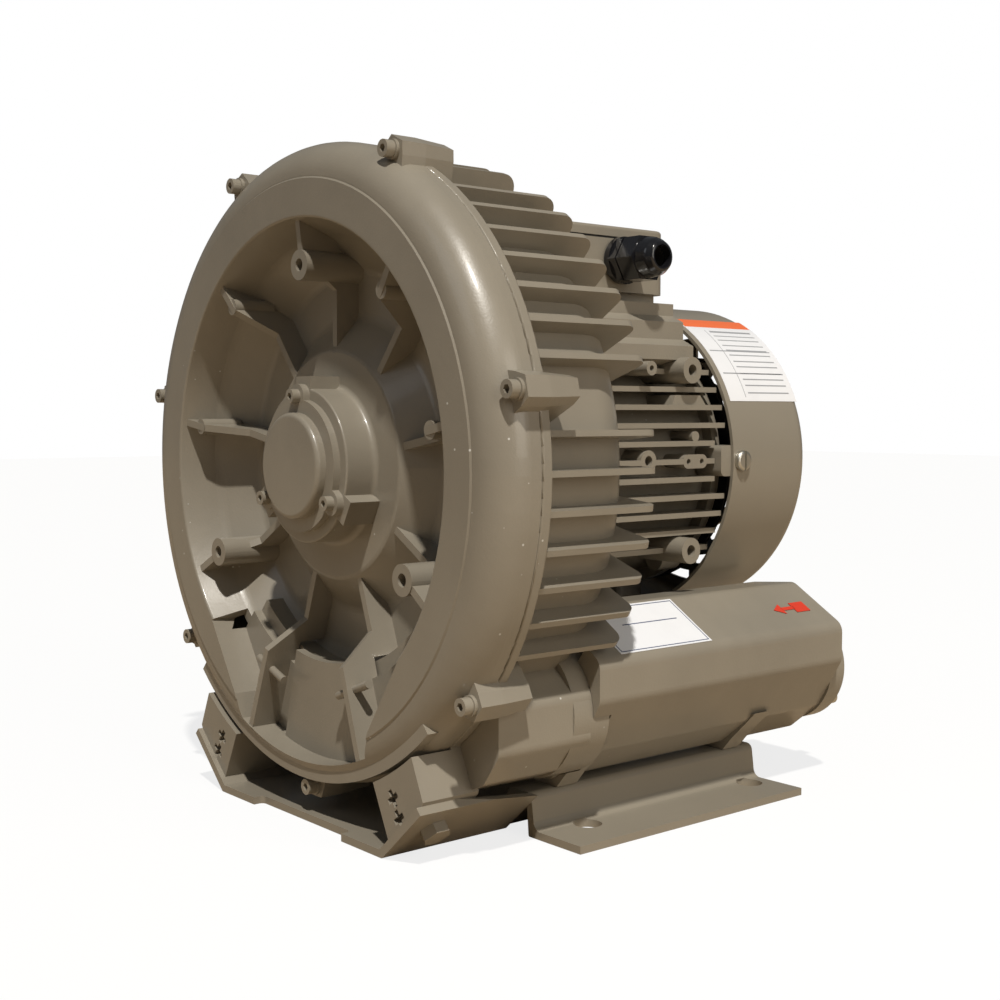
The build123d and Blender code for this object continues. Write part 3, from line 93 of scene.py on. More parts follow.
def pick(piece, wanted, kind="FACE"):
    """Edit mode with only the faces or vertices that wanted(element) chooses."""
    activate(piece)
    bpy.ops.object.mode_set(mode="EDIT")
    bpy.ops.mesh.select_mode(type=kind)
    bpy.ops.mesh.select_all(action="DESELECT")
    mesh = bmesh.from_edit_mesh(piece.data)
    for element in (mesh.faces if kind == "FACE" else mesh.verts):
        element.select_set(wanted(element))
    mesh.select_flush_mode()
    bmesh.update_edit_mesh(piece.data)


def apply_all(piece):
    """Live modifiers become mesh, and the place moves into the mesh."""
    activate(piece)
    for modifier in list(piece.modifiers):
        bpy.ops.object.modifier_apply(modifier=modifier.name)
    bpy.ops.object.transform_apply(location=True, rotation=True, scale=True)


def recalculated(piece):
    """Doubles merged and faces turned outwards."""
    activate(piece)
    bpy.ops.object.mode_set(mode="EDIT")
    bpy.ops.mesh.select_all(action="SELECT")
    bpy.ops.mesh.remove_doubles(threshold=1e-6)
    bpy.ops.mesh.normals_make_consistent(inside=False)
    bpy.ops.object.mode_set(mode="OBJECT")


def joined(pieces, name):
    """Several pieces as one."""
    deselect()
    for piece in pieces:
        piece.select_set(True)
    bpy.context.view_layer.objects.active = pieces[0]
    bpy.ops.object.join()
    return named(name)


def select_all_vertices(piece):
    """Edit mode with every vertex selected."""
    pick(piece, lambda vertex: True, "VERT")


def thickened(piece, thickness):
    """A live modifier that gives a bare surface its thickness, outwards."""
    solid = piece.modifiers.new("Film", "SOLIDIFY")
    solid.thickness = thickness
    solid.offset = 1.0


def paint(piece, material):
    """Every slot of the piece takes the material."""
    if not piece.material_slots:
        piece.data.materials.append(material)
    for slot in piece.material_slots:
        slot.material = material


def paint_nodes(names, material):
    """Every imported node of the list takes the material."""
    for name in names:
        paint(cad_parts[name], material)


# ---- shader maths ------------------------------------------------------------------------------

class Value:
    """A shader socket with Python arithmetic; each operator adds its Math node."""

    def __init__(self, finish, socket):
        self.finish = finish
        self.socket = socket

    def _math(self, operation, first, second):
        node = self.finish.node("ShaderNodeMath", {"operation": operation}, [first, second])
        return Value(self.finish, node.outputs[0])

    def __add__(self, other):
        return self._math("ADD", self, other)

    def __radd__(self, other):
        return self._math("ADD", other, self)

    def __sub__(self, other):
        return self._math("SUBTRACT", self, other)

    def __rsub__(self, other):
        return self._math("SUBTRACT", other, self)

    def __mul__(self, other):
        return self._math("MULTIPLY", self, other)

    def __rmul__(self, other):
        return self._math("MULTIPLY", other, self)


class Finish:
    """A material whose nodes are added by short calls."""

    def __init__(self, name, color, roughness, metallic=0.0, coat=0.0, specular=0.5):
        self.material = bpy.data.materials.new(name)
        self.material.use_nodes = True
        self.tree = self.material.node_tree
        self.shader = self.tree.nodes["Principled BSDF"]
        self.shader.inputs["Base Color"].default_value = (*color, 1.0)
        self.shader.inputs["Roughness"].default_value = roughness
        self.shader.inputs["Metallic"].default_value = metallic
        self.shader.inputs["Coat Weight"].default_value = coat
        self.shader.inputs["Coat Roughness"].default_value = 0.12
        self.shader.inputs["Specular IOR Level"].default_value = specular
        place = self.tree.nodes.new("ShaderNodeTexCoord")
        self.place = place.outputs["Object"]

    def node(self, kind, settings, inputs):
        """A node: its settings first, then the values or links of its sockets, by order or name."""
        node = self.tree.nodes.new(kind)
        for key, value in settings.items():
            setattr(node, key, value)
        pairs = inputs.items() if isinstance(inputs, dict) else enumerate(inputs)
        for key, value in pairs:
            if isinstance(value, Value):
                value = value.socket
            if isinstance(value, bpy.types.NodeSocket):
                self.tree.links.new(value, node.inputs[key])
            elif value is not None:
                node.inputs[key].default_value = value
        return node

    def noise(self, scale, detail=3.0, roughness=0.55, stretch=(1.0, 1.0, 1.0)):
        """Noise over the object's own coordinates, from 0 to 1."""
        mapping = self.node("ShaderNodeMapping", {}, {"Vector": self.place, "Scale": stretch})
        node = self.node("ShaderNodeTexNoise", {}, {"Vector": mapping.outputs[0], "Scale": scale, "Detail": detail,
                                                    "Roughness": roughness})
        return Value(self, node.outputs["Fac"])

    def cells(self, scale):
        """Distance to the nearest of scattered points, for pits."""
        node = self.node("ShaderNodeTexVoronoi", {}, {"Vector": self.place, "Scale": scale})
        return Value(self, node.outputs["Distance"])

    def ramp(self, value, low, high):
        """Value stretched so that low is 0 and high is 1."""
        node = self.node("ShaderNodeMapRange", {"clamp": True},
                         {"Value": value, "From Min": low, "From Max": high})
        return Value(self, node.outputs[0])

    def mix(self, factor, first, second):
        """Colour between two colours."""
        first = (*first, 1.0) if isinstance(first, (tuple, list)) else first
        second = (*second, 1.0) if isinstance(second, (tuple, list)) else second
        node = self.node("ShaderNodeMix", {"data_type": "RGBA"}, {0: factor, 6: first, 7: second})
        return Value(self, node.outputs[2])

    def feed(self, name, value):
        """The value drives the shader's input of that name."""
        self.tree.links.new(value.socket, self.shader.inputs[name])

    def bump(self, height, depth):
        """Relief of that depth in metres."""
        node = self.node("ShaderNodeBump", {}, {"Height": height, "Distance": depth, "Strength": 1.0})
        self.tree.links.new(node.outputs[0], self.shader.inputs["Normal"])


def shade(color, factor):
    """The colour, lighter or darker."""
    return tuple(channel * factor for channel in color)


# ---- sizes and colours a user would change -----------------------------------------------------------

class BlowerColors(bpy.types.PropertyGroup):
    """Colours of the blower's finishes."""

    casing: FloatVectorProperty(name="Casing paint", description="Warm grey paint of the castings", subtype="COLOR",
                                size=3, min=0.0, max=1.0, default=(0.250, 0.222, 0.176))
    paint_gloss: FloatProperty(name="Paint roughness", description="0 is a mirror and 1 is chalk",
                               subtype="FACTOR", min=0.0, max=1.0, default=0.36)
    label: FloatVectorProperty(name="Label", description="Face of the printed labels", subtype="COLOR",
                               size=3, min=0.0, max=1.0, default=(0.78, 0.79, 0.82))
    band: FloatVectorProperty(name="Label band", description="Plain band along the top of the cowl label",
                              subtype="COLOR", size=3, min=0.0, max=1.0, default=(0.85, 0.17, 0.05))
    arrow: FloatVectorProperty(name="Flow arrow", description="Arrow that shows which way the air goes",
                               subtype="COLOR", size=3, min=0.0, max=1.0, default=(0.62, 0.045, 0.02))


class BlowerSizes(bpy.types.PropertyGroup):
    """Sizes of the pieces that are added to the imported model."""

    thread_pitch: FloatProperty(name="Port thread pitch", description="Pitch of the pipe thread in both ports",
                                unit="LENGTH", default=0.002309)
    thread_depth: FloatProperty(name="Port thread depth", description="Height of the thread's ridge",
                                unit="LENGTH", default=0.0012)
    label_thickness: FloatProperty(name="Label thickness", description="How far a label stands off its seat",
                                   unit="LENGTH", default=0.0002)


class BlowerStage(bpy.types.PropertyGroup):
    """Camera and lamps."""

    camera_azimuth: FloatProperty(name="Camera azimuth", description="Turn of the camera round the vertical",
                                  subtype="ANGLE", default=math.radians(50.39))
    camera_tilt: FloatProperty(name="Camera tilt", description="How far the camera looks down",
                               subtype="ANGLE", default=math.radians(3.525))
    camera_lens: FloatProperty(name="Lens", description="Focal length in millimetres on a 36 mm sensor",
                               min=10.0, default=50.81)
    sun_strength: FloatProperty(name="Sun strength", description="Level of the high lamp", default=3.4)
    sky_strength: FloatProperty(name="Sky strength", description="Level of the light from all round", default=0.10)


# ---- finishes -----------------------------------------------------------------------------------------

BARE_METAL = (0.55, 0.54, 0.50)


def casing_paint(name, color, roughness, grain, waviness):
    """Satin paint on a casting: orange peel, soft waves of the mould, thin dust and a few pits."""
    finish = Finish(name, color, roughness, coat=0.3)
    clouds = finish.noise(9.0, detail=4.0)
    streaks = finish.noise(38.0, detail=2.0, stretch=(1.0, 1.0, 0.25))
    peel = finish.noise(900.0, detail=2.0)
    tone = finish.ramp(clouds * 0.75 + streaks * 0.25, 0.32, 0.68)
    chips = finish.ramp(finish.cells(120.0), 0.075, 0.06) * finish.ramp(finish.noise(11.0), 0.60, 0.63)
    aged = finish.mix(tone, shade(color, 0.90), shade(color, 1.09))
    finish.feed("Base Color", finish.mix(chips, aged.socket, BARE_METAL))
    finish.feed("Roughness", (roughness - 0.06) + clouds * 0.10 + peel * 0.05)
    pits = finish.ramp(finish.cells(230.0), 0.06, 0.0)
    waves = finish.noise(60.0, detail=2.0)
    finish.bump(peel * grain + waves * waviness - pits * 0.25, 0.0004)
    return finish.material


def sheet_paint(name, color, roughness):
    """The same paint on pressed sheet: smoother, with long faint waves."""
    finish = Finish(name, color, roughness, coat=0.3)
    clouds = finish.noise(6.0, detail=3.0)
    peel = finish.noise(1100.0, detail=2.0)
    tone = finish.ramp(clouds, 0.3, 0.7)
    finish.feed("Base Color", finish.mix(tone, shade(color, 0.94), shade(color, 1.06)))
    finish.feed("Roughness", (roughness - 0.05) + clouds * 0.10)
    finish.bump(peel * 0.10 + finish.noise(22.0, detail=1.0) * 0.55, 0.0003)
    return finish.material


def brushed_metal(name, color, roughness, stretch=(1.0, 30.0, 1.0)):
    """Bare metal with the fine lines of the tool along it."""
    finish = Finish(name, color, roughness, metallic=1.0)
    lines = finish.noise(160.0, detail=2.0, stretch=stretch)
    tone = finish.ramp(finish.noise(30.0), 0.3, 0.7)
    finish.feed("Base Color", finish.mix(tone, shade(color, 0.86), shade(color, 1.05)))
    finish.feed("Roughness", (roughness - 0.08) + lines * 0.16)
    finish.bump(lines * 0.4, 0.0001)
    return finish.material


def plain_plastic(name, color, roughness, coat=0.0):
    """Moulded plastic or rubber with a faint mould grain and rubbed patches."""
    finish = Finish(name, color, roughness, coat=coat)
    rubbed = finish.ramp(finish.noise(70.0, detail=3.0), 0.35, 0.75)
    finish.feed("Base Color", finish.mix(rubbed, shade(color, 0.85), shade(color, 1.3)))
    finish.feed("Roughness", (roughness - 0.04) + rubbed * 0.10)
    finish.bump(finish.noise(1500.0, detail=1.0) * 0.3, 0.0001)
    return finish.material


def open_foam(name, color):
    """Black open-cell foam, with painted shade in the cells' hollows and painted light on the rims between them."""
    finish = Finish(name, color, 0.95)
    cell_depth_and_shade = finish.ramp(finish.cells(520.0), 0.1, 0.6)
    # painted shade: the hollows of the cells darker and the rims between them lighter, where the relief sinks and
    # rises
    finish.feed("Base Color", finish.mix(cell_depth_and_shade, shade(color, 0.25), shade(color, 1.5)))
    finish.bump(cell_depth_and_shade, 0.0008)
    return finish.material


def laminations(name, color):
    """A stack of thin electrical sheets, seen on edge."""
    finish = Finish(name, color, 0.45, metallic=1.0)
    sheets = finish.noise(1.0, detail=0.0, stretch=(0.0, 1900.0, 0.0))
    finish.feed("Base Color", finish.mix(finish.ramp(sheets, 0.4, 0.6), shade(color, 0.7), shade(color, 1.2)))
    finish.bump(sheets, 0.0002)
    return finish.material


def enamelled_wire(name, color):
    """Varnished copper wire wound round the coil, with painted shade in the grooves between the windings and painted
    light on their crowns.
    """
    finish = Finish(name, color, 0.3, metallic=0.7, coat=0.5)
    winding_relief_and_shade = finish.noise(120.0, detail=2.0, stretch=(1.0, 6.0, 1.0))
    # painted shade in the grooves between the windings and painted light on their crowns, where the relief sinks and
    # rises
    finish.feed("Base Color", finish.mix(finish.ramp(winding_relief_and_shade, 0.35, 0.65), shade(color, 0.5), shade(color, 1.2)))
    finish.bump(winding_relief_and_shade, 0.0006)
    return finish.material


def print_on_film(name, color):
    """Printed film: even colour, a soft sheen and a little dust."""
    finish = Finish(name, color, 0.32, coat=0.3)
    dust = finish.ramp(finish.noise(45.0, detail=3.0), 0.5, 0.8)
    finish.feed("Base Color", finish.mix(dust * 0.35, color, shade(color, 0.86)))
    finish.feed("Roughness", 0.28 + dust * 0.2)
    finish.bump(finish.noise(40.0, detail=1.0) * 0.3, 0.0002)
    return finish.material


class BLOWER_OT_castings(bpy.types.Operator):
    """Paint the castings, the sheet parts and the screws that were painted with them"""

    bl_idname = "blower.castings"
    bl_label = "Paint castings and sheet"

    def execute(self, context):
        colors = context.scene.blower_colors
        color = tuple(colors.casing)
        gloss = colors.paint_gloss
        paint_nodes(CAST, casing_paint("casting_paint", color, gloss, 0.16, 0.55))
        paint_nodes(ROUGH_CAST, casing_paint("rough_casting_paint", shade(color, 0.97), gloss + 0.06, 0.30, 0.8))
        paint_nodes(SHEET, sheet_paint("sheet_paint", color, gloss - 0.02))
        paint_nodes(PAINTED_SCREWS, sheet_paint("painted_screw", shade(color, 1.04), gloss - 0.04))
        return {"FINISHED"}


class BLOWER_OT_metals(bpy.types.Operator):
    """Give every bare metal piece its own finish"""

    bl_idname = "blower.metals"
    bl_label = "Finish bare metals"

    def execute(self, context):
        paint_nodes(ZINC_SCREWS, brushed_metal("zinc_plate", (0.60, 0.58, 0.52), 0.36, (1.0, 1.0, 1.0)))
        paint_nodes(POLISHED, brushed_metal("ground_steel", (0.74, 0.74, 0.75), 0.14, (1.0, 1.0, 1.0)))
        paint_nodes(TURNED, brushed_metal("turned_steel", (0.52, 0.52, 0.53), 0.30))
        paint_nodes(RAW_ALUMINIUM, brushed_metal("raw_aluminium", (0.68, 0.68, 0.69), 0.42, (1.0, 1.0, 1.0)))
        paint_nodes(LAMINATED, laminations("laminations", (0.30, 0.30, 0.32)))
        paint_nodes(["stator_windings"], enamelled_wire("enamelled_wire", (0.45, 0.15, 0.06)))
        paint_nodes(["terminal_studs"], brushed_metal("stud_brass", (0.76, 0.58, 0.27), 0.28))
        return {"FINISHED"}


class BLOWER_OT_plastics(bpy.types.Operator):
    """Give the gland, the fan, the seals and the foam their finishes"""

    bl_idname = "blower.plastics"
    bl_label = "Finish plastics and rubber"

    def execute(self, context):
        paint_nodes(GLAND, plain_plastic("gland_nylon", (0.010, 0.010, 0.012), 0.17, coat=0.4))
        paint_nodes(["cooling_fan", "terminal_block"], plain_plastic("moulded_plastic", (0.018, 0.018, 0.018), 0.5))
        paint_nodes(RUBBER, plain_plastic("seal_rubber", (0.016, 0.016, 0.016), 0.62))
        paint_nodes(["inlet_foam_sleeve", "outlet_foam_sleeve"], open_foam("sound_foam", (0.05, 0.05, 0.055)))
        return {"FINISHED"}


# ---- port threads ----------------------------------------------------------------------------------------

PORT_X = 0.095
PORT_MOUTH = 0.130
PORT_HEIGHT = 0.066
PORT_RADIUS = 0.0224
THREAD_TURNS = 5
THREAD_STEPS = 48
THREAD_RUNOUT = 0.6
RIDGE_STRETCH = (0.75, 1.0, 0.62)
RIDGE_OVERLAP = 0.0002


class BLOWER_OT_threads(bpy.types.Operator):
    """Cut the pipe thread's ridge inside both ports"""

    bl_idname = "blower.threads"
    bl_label = "Cut port threads"

    def execute(self, context):
        sizes = context.scene.blower_sizes
        for side, name in ((-1, "inlet_port_thread"), (1, "outlet_port_thread")):
            deselect()
            bpy.ops.mesh.primitive_circle_add(vertices=3, radius=sizes.thread_depth, location=(0, 0, 0),
                                              rotation=(math.radians(90), 0, 0))
            ridge = named(name)
            bpy.ops.object.transform_apply(rotation=True)
            select_all_vertices(ridge)
            bpy.ops.transform.resize(value=RIDGE_STRETCH)
            bpy.ops.transform.translate(value=(PORT_RADIUS - RIDGE_OVERLAP, 0, 0))
            bpy.ops.object.mode_set(mode="OBJECT")
            screw = ridge.modifiers.new("Turns", "SCREW")
            screw.axis = "Z"
            screw.screw_offset = sizes.thread_pitch
            screw.iterations = THREAD_TURNS
            screw.steps = screw.render_steps = THREAD_STEPS
            screw.use_merge_vertices = False
            screw.use_normal_calculate = True
            apply_all(ridge)
            ridge.rotation_euler = (math.radians(-90), 0, 0)
            thread_start = PORT_MOUTH - (THREAD_TURNS + THREAD_RUNOUT) * sizes.thread_pitch
            ridge.location = (side * PORT_X, thread_start, PORT_HEIGHT)
            apply_all(ridge)
            select_all_vertices(ridge)
            bpy.ops.mesh.normals_make_consistent(inside=False)
            bpy.ops.object.mode_set(mode="OBJECT")
            paint(ridge, bpy.data.materials["raw_aluminium"])
            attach(ridge, "housing")
        return {"FINISHED"}


# ---- labels ------------------------------------------------------------------------------------------------

# Gap under a label or its print, and the print's thickness as a share of the film's.
LABEL_LIFT = 0.00005
PRINT_SHARE = 0.3

# The cowl label: angles round the shaft in degrees, and places along it in metres.
COWL_RADIUS = 0.0946
COWL_LABEL_ANGLES = (21.5, 63.5)
COWL_LABEL_REACH = (0.0705, 0.1310)
BAND_ANGLES = (57.5, 63.5)
LABEL_SEGMENTS = 720
RULE_ROWS = 12
RULE_PITCH = 2.7
RULE_SPLITS = (43.4, 32.6)
BAND_MARGIN = 0.0008
RULES_BELOW_BAND = 3.0
RULE_HALF_ANGLE = 0.25
RULE_MARGINS = (0.018, 0.005)
SPLIT_HALF_ANGLE = 0.2
SPLIT_MARGIN = 0.003
COLUMN_REACH = (0.0145, 0.0149)
COLUMN_OVERHANG = (1.5, 1.0)


def cowl_patch(name, angles, reach, lift, thickness):
    """A curved sheet on the cowl: from one angle to the other round the shaft, between two places along Y."""
    deselect()
    bpy.ops.mesh.primitive_cylinder_add(vertices=LABEL_SEGMENTS, radius=COWL_RADIUS + lift, end_fill_type="NOTHING",
                                        depth=reach[1] - reach[0], rotation=(math.radians(90), 0, 0),
                                        location=(0, (reach[0] + reach[1]) / 2, SHAFT_HEIGHT))
    patch = named(name)
    bpy.ops.object.transform_apply(location=True, rotation=True, scale=True)

    def outside(face):
        centre = face.calc_center_median()
        angle = math.degrees(math.atan2(centre.z - SHAFT_HEIGHT, centre.x))
        return not angles[0] < angle < angles[1]

    pick(patch, outside)
    bpy.ops.mesh.delete(type="FACE")
    bpy.ops.object.mode_set(mode="OBJECT")
    thickened(patch, thickness)
    apply_all(patch)
    recalculated(patch)
    bpy.ops.object.shade_smooth_by_angle(angle=math.radians(30))
    return patch


class BLOWER_OT_cowl_label(bpy.types.Operator):
    """Stick the blank ruled label on the cowl"""

    bl_idname = "blower.cowl_label"
    bl_label = "Cowl label"

    def execute(self, context):
        colors = context.scene.blower_colors
        film = context.scene.blower_sizes.label_thickness
        sheet = cowl_patch("cowl_label", COWL_LABEL_ANGLES, COWL_LABEL_REACH, LABEL_LIFT, film)
        paint(sheet, print_on_film("label_film", tuple(colors.label)))
        low, high = COWL_LABEL_REACH
        printed, print_film = film + LABEL_LIFT, film * PRINT_SHARE
        band = cowl_patch("cowl_label_band", BAND_ANGLES, (low + BAND_MARGIN, high - BAND_MARGIN), printed, print_film)
        paint(band, print_on_film("label_band", tuple(colors.band)))
        rules = []
        top = BAND_ANGLES[0] - RULES_BELOW_BAND
        rule_reach = (low + RULE_MARGINS[0], high - RULE_MARGINS[1])
        for row in range(RULE_ROWS):
            angle = top - row * RULE_PITCH
            rules.append(cowl_patch(f"rule_{row}", (angle - RULE_HALF_ANGLE, angle + RULE_HALF_ANGLE), rule_reach,
                                    printed, print_film))
        split_reach = (low + SPLIT_MARGIN, high - SPLIT_MARGIN)
        for number, angle in enumerate(RULE_SPLITS):
            rules.append(cowl_patch(f"split_{number}", (angle - SPLIT_HALF_ANGLE, angle + SPLIT_HALF_ANGLE),
                                    split_reach, printed, print_film))
        column = (COWL_LABEL_ANGLES[0] + COLUMN_OVERHANG[0], top + COLUMN_OVERHANG[1])
        rules.append(cowl_patch("rule_column", column, (low + COLUMN_REACH[0], low + COLUMN_REACH[1]), printed,
                                print_film))
        lines = joined(rules, "cowl_label_rules")
        paint(lines, print_on_film("label_ink", (0.32, 0.33, 0.35)))
        for piece in (sheet, band, lines):
            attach(piece, "housing")
        return {"FINISHED"}


# The silencer's sloping face, and the label and arrow on it: X runs down the slope, Y along the silencer.
SLOPE_TOP = Vector((0.100, 0.0, 0.116))
SLOPE_EDGE = Vector((0.136, 0.0, 0.094))
SLOPE_ALONG = (SLOPE_EDGE - SLOPE_TOP).normalized()
SLOPE_OUT = SLOPE_ALONG.cross(Vector((0.0, -1.0, 0.0))).normalized()
if SLOPE_OUT.z < 0:
    SLOPE_OUT = -SLOPE_OUT
PLATE_REACH = (-0.062, 0.006)
PLATE_WIDTH = (0.0022, 0.0390)
ARROW_REACH = (0.074, 0.103)
ARROW_MIDDLE = 0.0225
FRAME_EDGE = 0.0012
FRAME_LINE = 0.0006
LABEL_RULE_ACROSS = (0.0155, 0.0162)
LABEL_RULE_MARGINS = (0.018, 0.009)
ARROW_HEAD_RADIUS = 0.005
ARROW_SHAFT_HALF = 0.0013
ARROW_SHAFT_MARGINS = (0.007, 0.011)
ARROW_TAIL_HALF = 0.0042
ARROW_TAIL_LENGTH = 0.012


def on_slope(piece):
    """Moves a piece drawn flat, its X along the slope and its Y along the silencer, to the slope."""
    matrix = Matrix((SLOPE_ALONG, Vector((0.0, 1.0, 0.0)), SLOPE_OUT)).transposed().to_4x4()
    matrix.translation = SLOPE_TOP
    piece.matrix_world = matrix
    apply_all(piece)
    recalculated(piece)


def flat_sheet(name, across, along, lift, thickness):
    """A thin flat sheet on the slope, square at its corners."""
    deselect()
    bpy.ops.mesh.primitive_plane_add(size=1.0, location=(sum(across) / 2, sum(along) / 2, lift))
    sheet = named(name)
    sheet.scale = (across[1] - across[0], along[1] - along[0], 1.0)
    bpy.ops.object.transform_apply(location=True, rotation=True, scale=True)
    thickened(sheet, thickness)
    on_slope(sheet)
    return sheet


class BLOWER_OT_silencer_label(bpy.types.Operator):
    """Stick the blank framed label and the flow arrow on the silencer"""

    bl_idname = "blower.silencer_label"
    bl_label = "Silencer label and arrow"

    def execute(self, context):
        colors = context.scene.blower_colors
        film = context.scene.blower_sizes.label_thickness
        sheet = flat_sheet("silencer_label", PLATE_WIDTH, PLATE_REACH, LABEL_LIFT, film)
        paint(sheet, bpy.data.materials["label_film"])
        printed = film + LABEL_LIFT
        # the frame's outer edge, then its four lines and the ruled line
        left, right = PLATE_WIDTH[0] + FRAME_EDGE, PLATE_WIDTH[1] - FRAME_EDGE
        near, far = PLATE_REACH[0] + FRAME_EDGE, PLATE_REACH[1] - FRAME_EDGE
        lines = [
            ((left, right), (near, near + FRAME_LINE)),
            ((left, right), (far - FRAME_LINE, far)),
            ((left, left + FRAME_LINE), (near, far)),
            ((right - FRAME_LINE, right), (near, far)),
            ((PLATE_WIDTH[0] + LABEL_RULE_ACROSS[0], PLATE_WIDTH[0] + LABEL_RULE_ACROSS[1]),
             (PLATE_REACH[0] + LABEL_RULE_MARGINS[0], PLATE_REACH[1] - LABEL_RULE_MARGINS[1])),
        ]
        bars = joined([flat_sheet(f"bar_{number}", across, along, printed, film * PRINT_SHARE)
                       for number, (across, along) in enumerate(lines)], "silencer_label_rules")
        paint(bars, print_on_film("label_frame", (0.09, 0.11, 0.19)))
        deselect()
        near, far = ARROW_REACH
        bpy.ops.mesh.primitive_circle_add(vertices=3, radius=ARROW_HEAD_RADIUS, fill_type="NGON",
                                          rotation=(0, 0, math.pi),
                                          location=(ARROW_MIDDLE, near + ARROW_HEAD_RADIUS, printed))
        head = named("arrow_head")
        bpy.ops.object.transform_apply(location=True, rotation=True, scale=True)
        thickened(head, film)
        on_slope(head)
        shaft = flat_sheet("arrow_shaft", (ARROW_MIDDLE - ARROW_SHAFT_HALF, ARROW_MIDDLE + ARROW_SHAFT_HALF),
                           (near + ARROW_SHAFT_MARGINS[0], far - ARROW_SHAFT_MARGINS[1]), printed, film)
        tail = flat_sheet("arrow_tail", (ARROW_MIDDLE - ARROW_TAIL_HALF, ARROW_MIDDLE + ARROW_TAIL_HALF),
                          (far - ARROW_TAIL_LENGTH, far), printed, film)
        arrow = joined([head, shaft, tail], "flow_arrow")
        paint(arrow, print_on_film("arrow_red", tuple(colors.arrow)))
        for piece in (sheet, bars, arrow):
            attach(piece, "housing")
        return {"FINISHED"}


# ---- stage -------------------------------------------------------------------------------------------------

CAMERA_PLACE = (0.640, -0.5612, 0.2177)
SUN_FROM = Vector((0.42, -0.28, 0.86))
SUN_DISTANCE = 3.0
SUN_ANGLE = math.radians(2.0)
SUN_COLOR = (1.0, 0.965, 0.90)
FLOOR_SIZE = 12.0
FLOOR_DROP = 0.0002
SKY_COLOR = (0.86, 0.93, 1.0, 1.0)
WHITE = (1.0, 1.0, 1.0, 1.0)

# Two soft lamps: name, watts, colour, place, aim and width.
FILLS = (
    ("front_fill", 2.0, (0.88, 0.93, 1.0), (0.0, -1.6, 1.3), (0, 0, 0.2), 0.8),
    ("side_fill", 7.0, (1.0, 0.94, 0.84), (1.5, 0.1, 0.7), (0.05, 0, 0.05), 0.9),
)


def lamp(name, kind, energy, color, place, aim, size):
    """A lamp at a place, turned to its aim; size is an area's width in metres or the sun's angle."""
    data = bpy.data.lights.new(name, kind)
    data.energy = energy
    data.color = color
    if kind == "AREA":
        data.size = size
    else:
        data.angle = size
    light = bpy.data.objects.new(name, data)
    light.location = place
    light.rotation_euler = (Vector(place) - Vector(aim)).to_track_quat("Z", "Y").to_euler()
    bpy.context.scene.collection.objects.link(light)


class BLOWER_OT_stage(bpy.types.Operator):
    """Set the camera, the lamps, the sky and the floor"""

    bl_idname = "blower.stage"
    bl_label = "Stage"

    def execute(self, context):
        stage = context.scene.blower_stage
        data = bpy.data.cameras.new("camera")
        data.lens = stage.camera_lens
        data.sensor_width = 36.0
        camera = bpy.data.objects.new("camera", data)
        camera.location = CAMERA_PLACE
        camera.rotation_euler = (math.radians(90) - stage.camera_tilt, 0, stage.camera_azimuth)
        context.scene.collection.objects.link(camera)
        context.scene.camera = camera
        lamp("sun", "SUN", stage.sun_strength, SUN_COLOR, tuple(SUN_FROM * SUN_DISTANCE), (0, 0, 0), SUN_ANGLE)
        for name, watts, color, place, aim, width in FILLS:
            lamp(name, "AREA", watts, color, place, aim, width)
        world = bpy.data.worlds.new("sky")
        context.scene.world = world
        world.use_nodes = True
        tree = world.node_tree
        tree.nodes["Background"].inputs["Color"].default_value = SKY_COLOR
        tree.nodes["Background"].inputs["Strength"].default_value = stage.sky_strength
        seen = tree.nodes.new("ShaderNodeBackground")
        seen.inputs["Color"].default_value = WHITE
        seen.inputs["Strength"].default_value = 1.0
        mixed = tree.nodes.new("ShaderNodeMixShader")
        ray = tree.nodes.new("ShaderNodeLightPath")
        tree.links.new(ray.outputs["Is Camera Ray"], mixed.inputs[0])
        tree.links.new(tree.nodes["Background"].outputs[0], mixed.inputs[1])
        tree.links.new(seen.outputs[0], mixed.inputs[2])
        tree.links.new(mixed.outputs[0], tree.nodes["World Output"].inputs["Surface"])
        deselect()
        bpy.ops.mesh.primitive_plane_add(size=FLOOR_SIZE, location=(0, 0, -FLOOR_DROP))
        floor = named("floor")
        bpy.ops.object.transform_apply(location=True)
        paint(floor, floor_material())
        context.scene.view_settings.view_transform = "Standard"
        return {"FINISHED"}


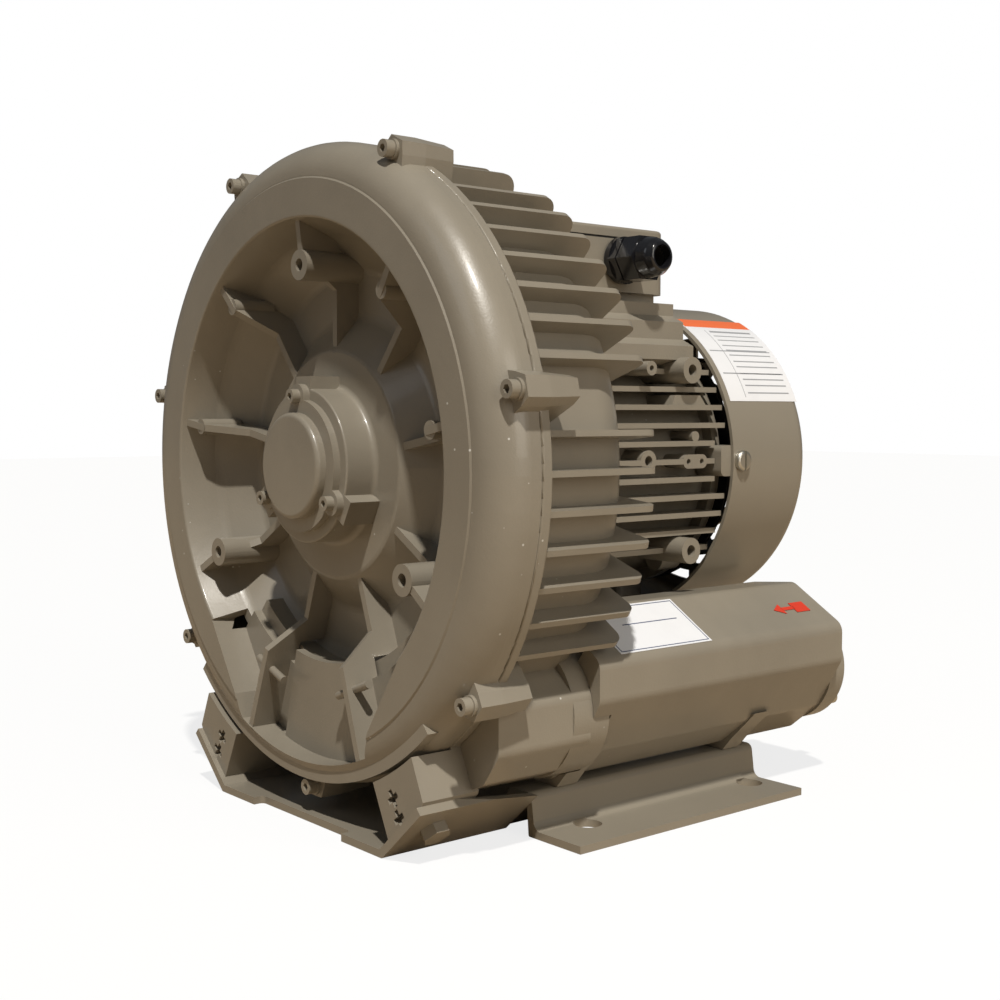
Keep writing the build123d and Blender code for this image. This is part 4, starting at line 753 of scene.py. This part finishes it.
def floor_material():
    """Near white where the camera sees it, warm and darker where it lights the object."""
    finish = Finish("floor", (0.42, 0.32, 0.21), 0.9)
    tree = finish.tree
    ray = finish.node("ShaderNodeLightPath", {}, [])
    white = finish.node("ShaderNodeBsdfDiffuse", {}, {"Color": (0.88, 0.88, 0.88, 1.0)})
    glow = finish.node("ShaderNodeEmission", {}, {"Color": WHITE, "Strength": 1.0})
    seen = finish.node("ShaderNodeMixShader", {}, {0: 0.80, 1: white.outputs[0], 2: glow.outputs[0]})
    either = finish.node("ShaderNodeMath", {"operation": "MAXIMUM"},
                         [ray.outputs["Is Camera Ray"], ray.outputs["Is Transmission Ray"]])
    mixed = finish.node("ShaderNodeMixShader", {}, {0: either.outputs[0], 1: finish.shader.outputs[0],
                                                    2: seen.outputs[0]})
    tree.links.new(mixed.outputs[0], tree.nodes["Material Output"].inputs["Surface"])
    return finish.material


OPERATORS = (BLOWER_OT_castings, BLOWER_OT_metals, BLOWER_OT_plastics, BLOWER_OT_threads, BLOWER_OT_cowl_label,
             BLOWER_OT_silencer_label, BLOWER_OT_stage)


class BLOWER_PT_panel(bpy.types.Panel):
    """Lists the blower's steps"""

    bl_label = "Side Channel Blower"
    bl_idname = "BLOWER_PT_panel"
    bl_space_type = "VIEW_3D"
    bl_region_type = "UI"
    bl_category = "Blower"

    def draw(self, context):
        for group in (context.scene.blower_colors, context.scene.blower_sizes, context.scene.blower_stage):
            for key in group.__annotations__:
                self.layout.prop(group, key)
        for operator in OPERATORS:
            self.layout.operator(operator.bl_idname)


GROUPS = (BlowerColors, BlowerSizes, BlowerStage)


def register():
    for item in GROUPS + OPERATORS + (BLOWER_PT_panel,):
        bpy.utils.register_class(item)
    bpy.types.Scene.blower_colors = PointerProperty(type=BlowerColors)
    bpy.types.Scene.blower_sizes = PointerProperty(type=BlowerSizes)
    bpy.types.Scene.blower_stage = PointerProperty(type=BlowerStage)


def unregister():
    del bpy.types.Scene.blower_stage
    del bpy.types.Scene.blower_sizes
    del bpy.types.Scene.blower_colors
    for item in reversed(GROUPS + OPERATORS + (BLOWER_PT_panel,)):
        bpy.utils.unregister_class(item)


def main():
    register()
    bpy.ops.blower.castings()
    bpy.ops.blower.metals()
    bpy.ops.blower.plastics()
    bpy.ops.blower.threads()
    bpy.ops.blower.cowl_label()
    bpy.ops.blower.silencer_label()
    bpy.ops.blower.stage()
    deselect()


if __name__ == "__main__":
    main()
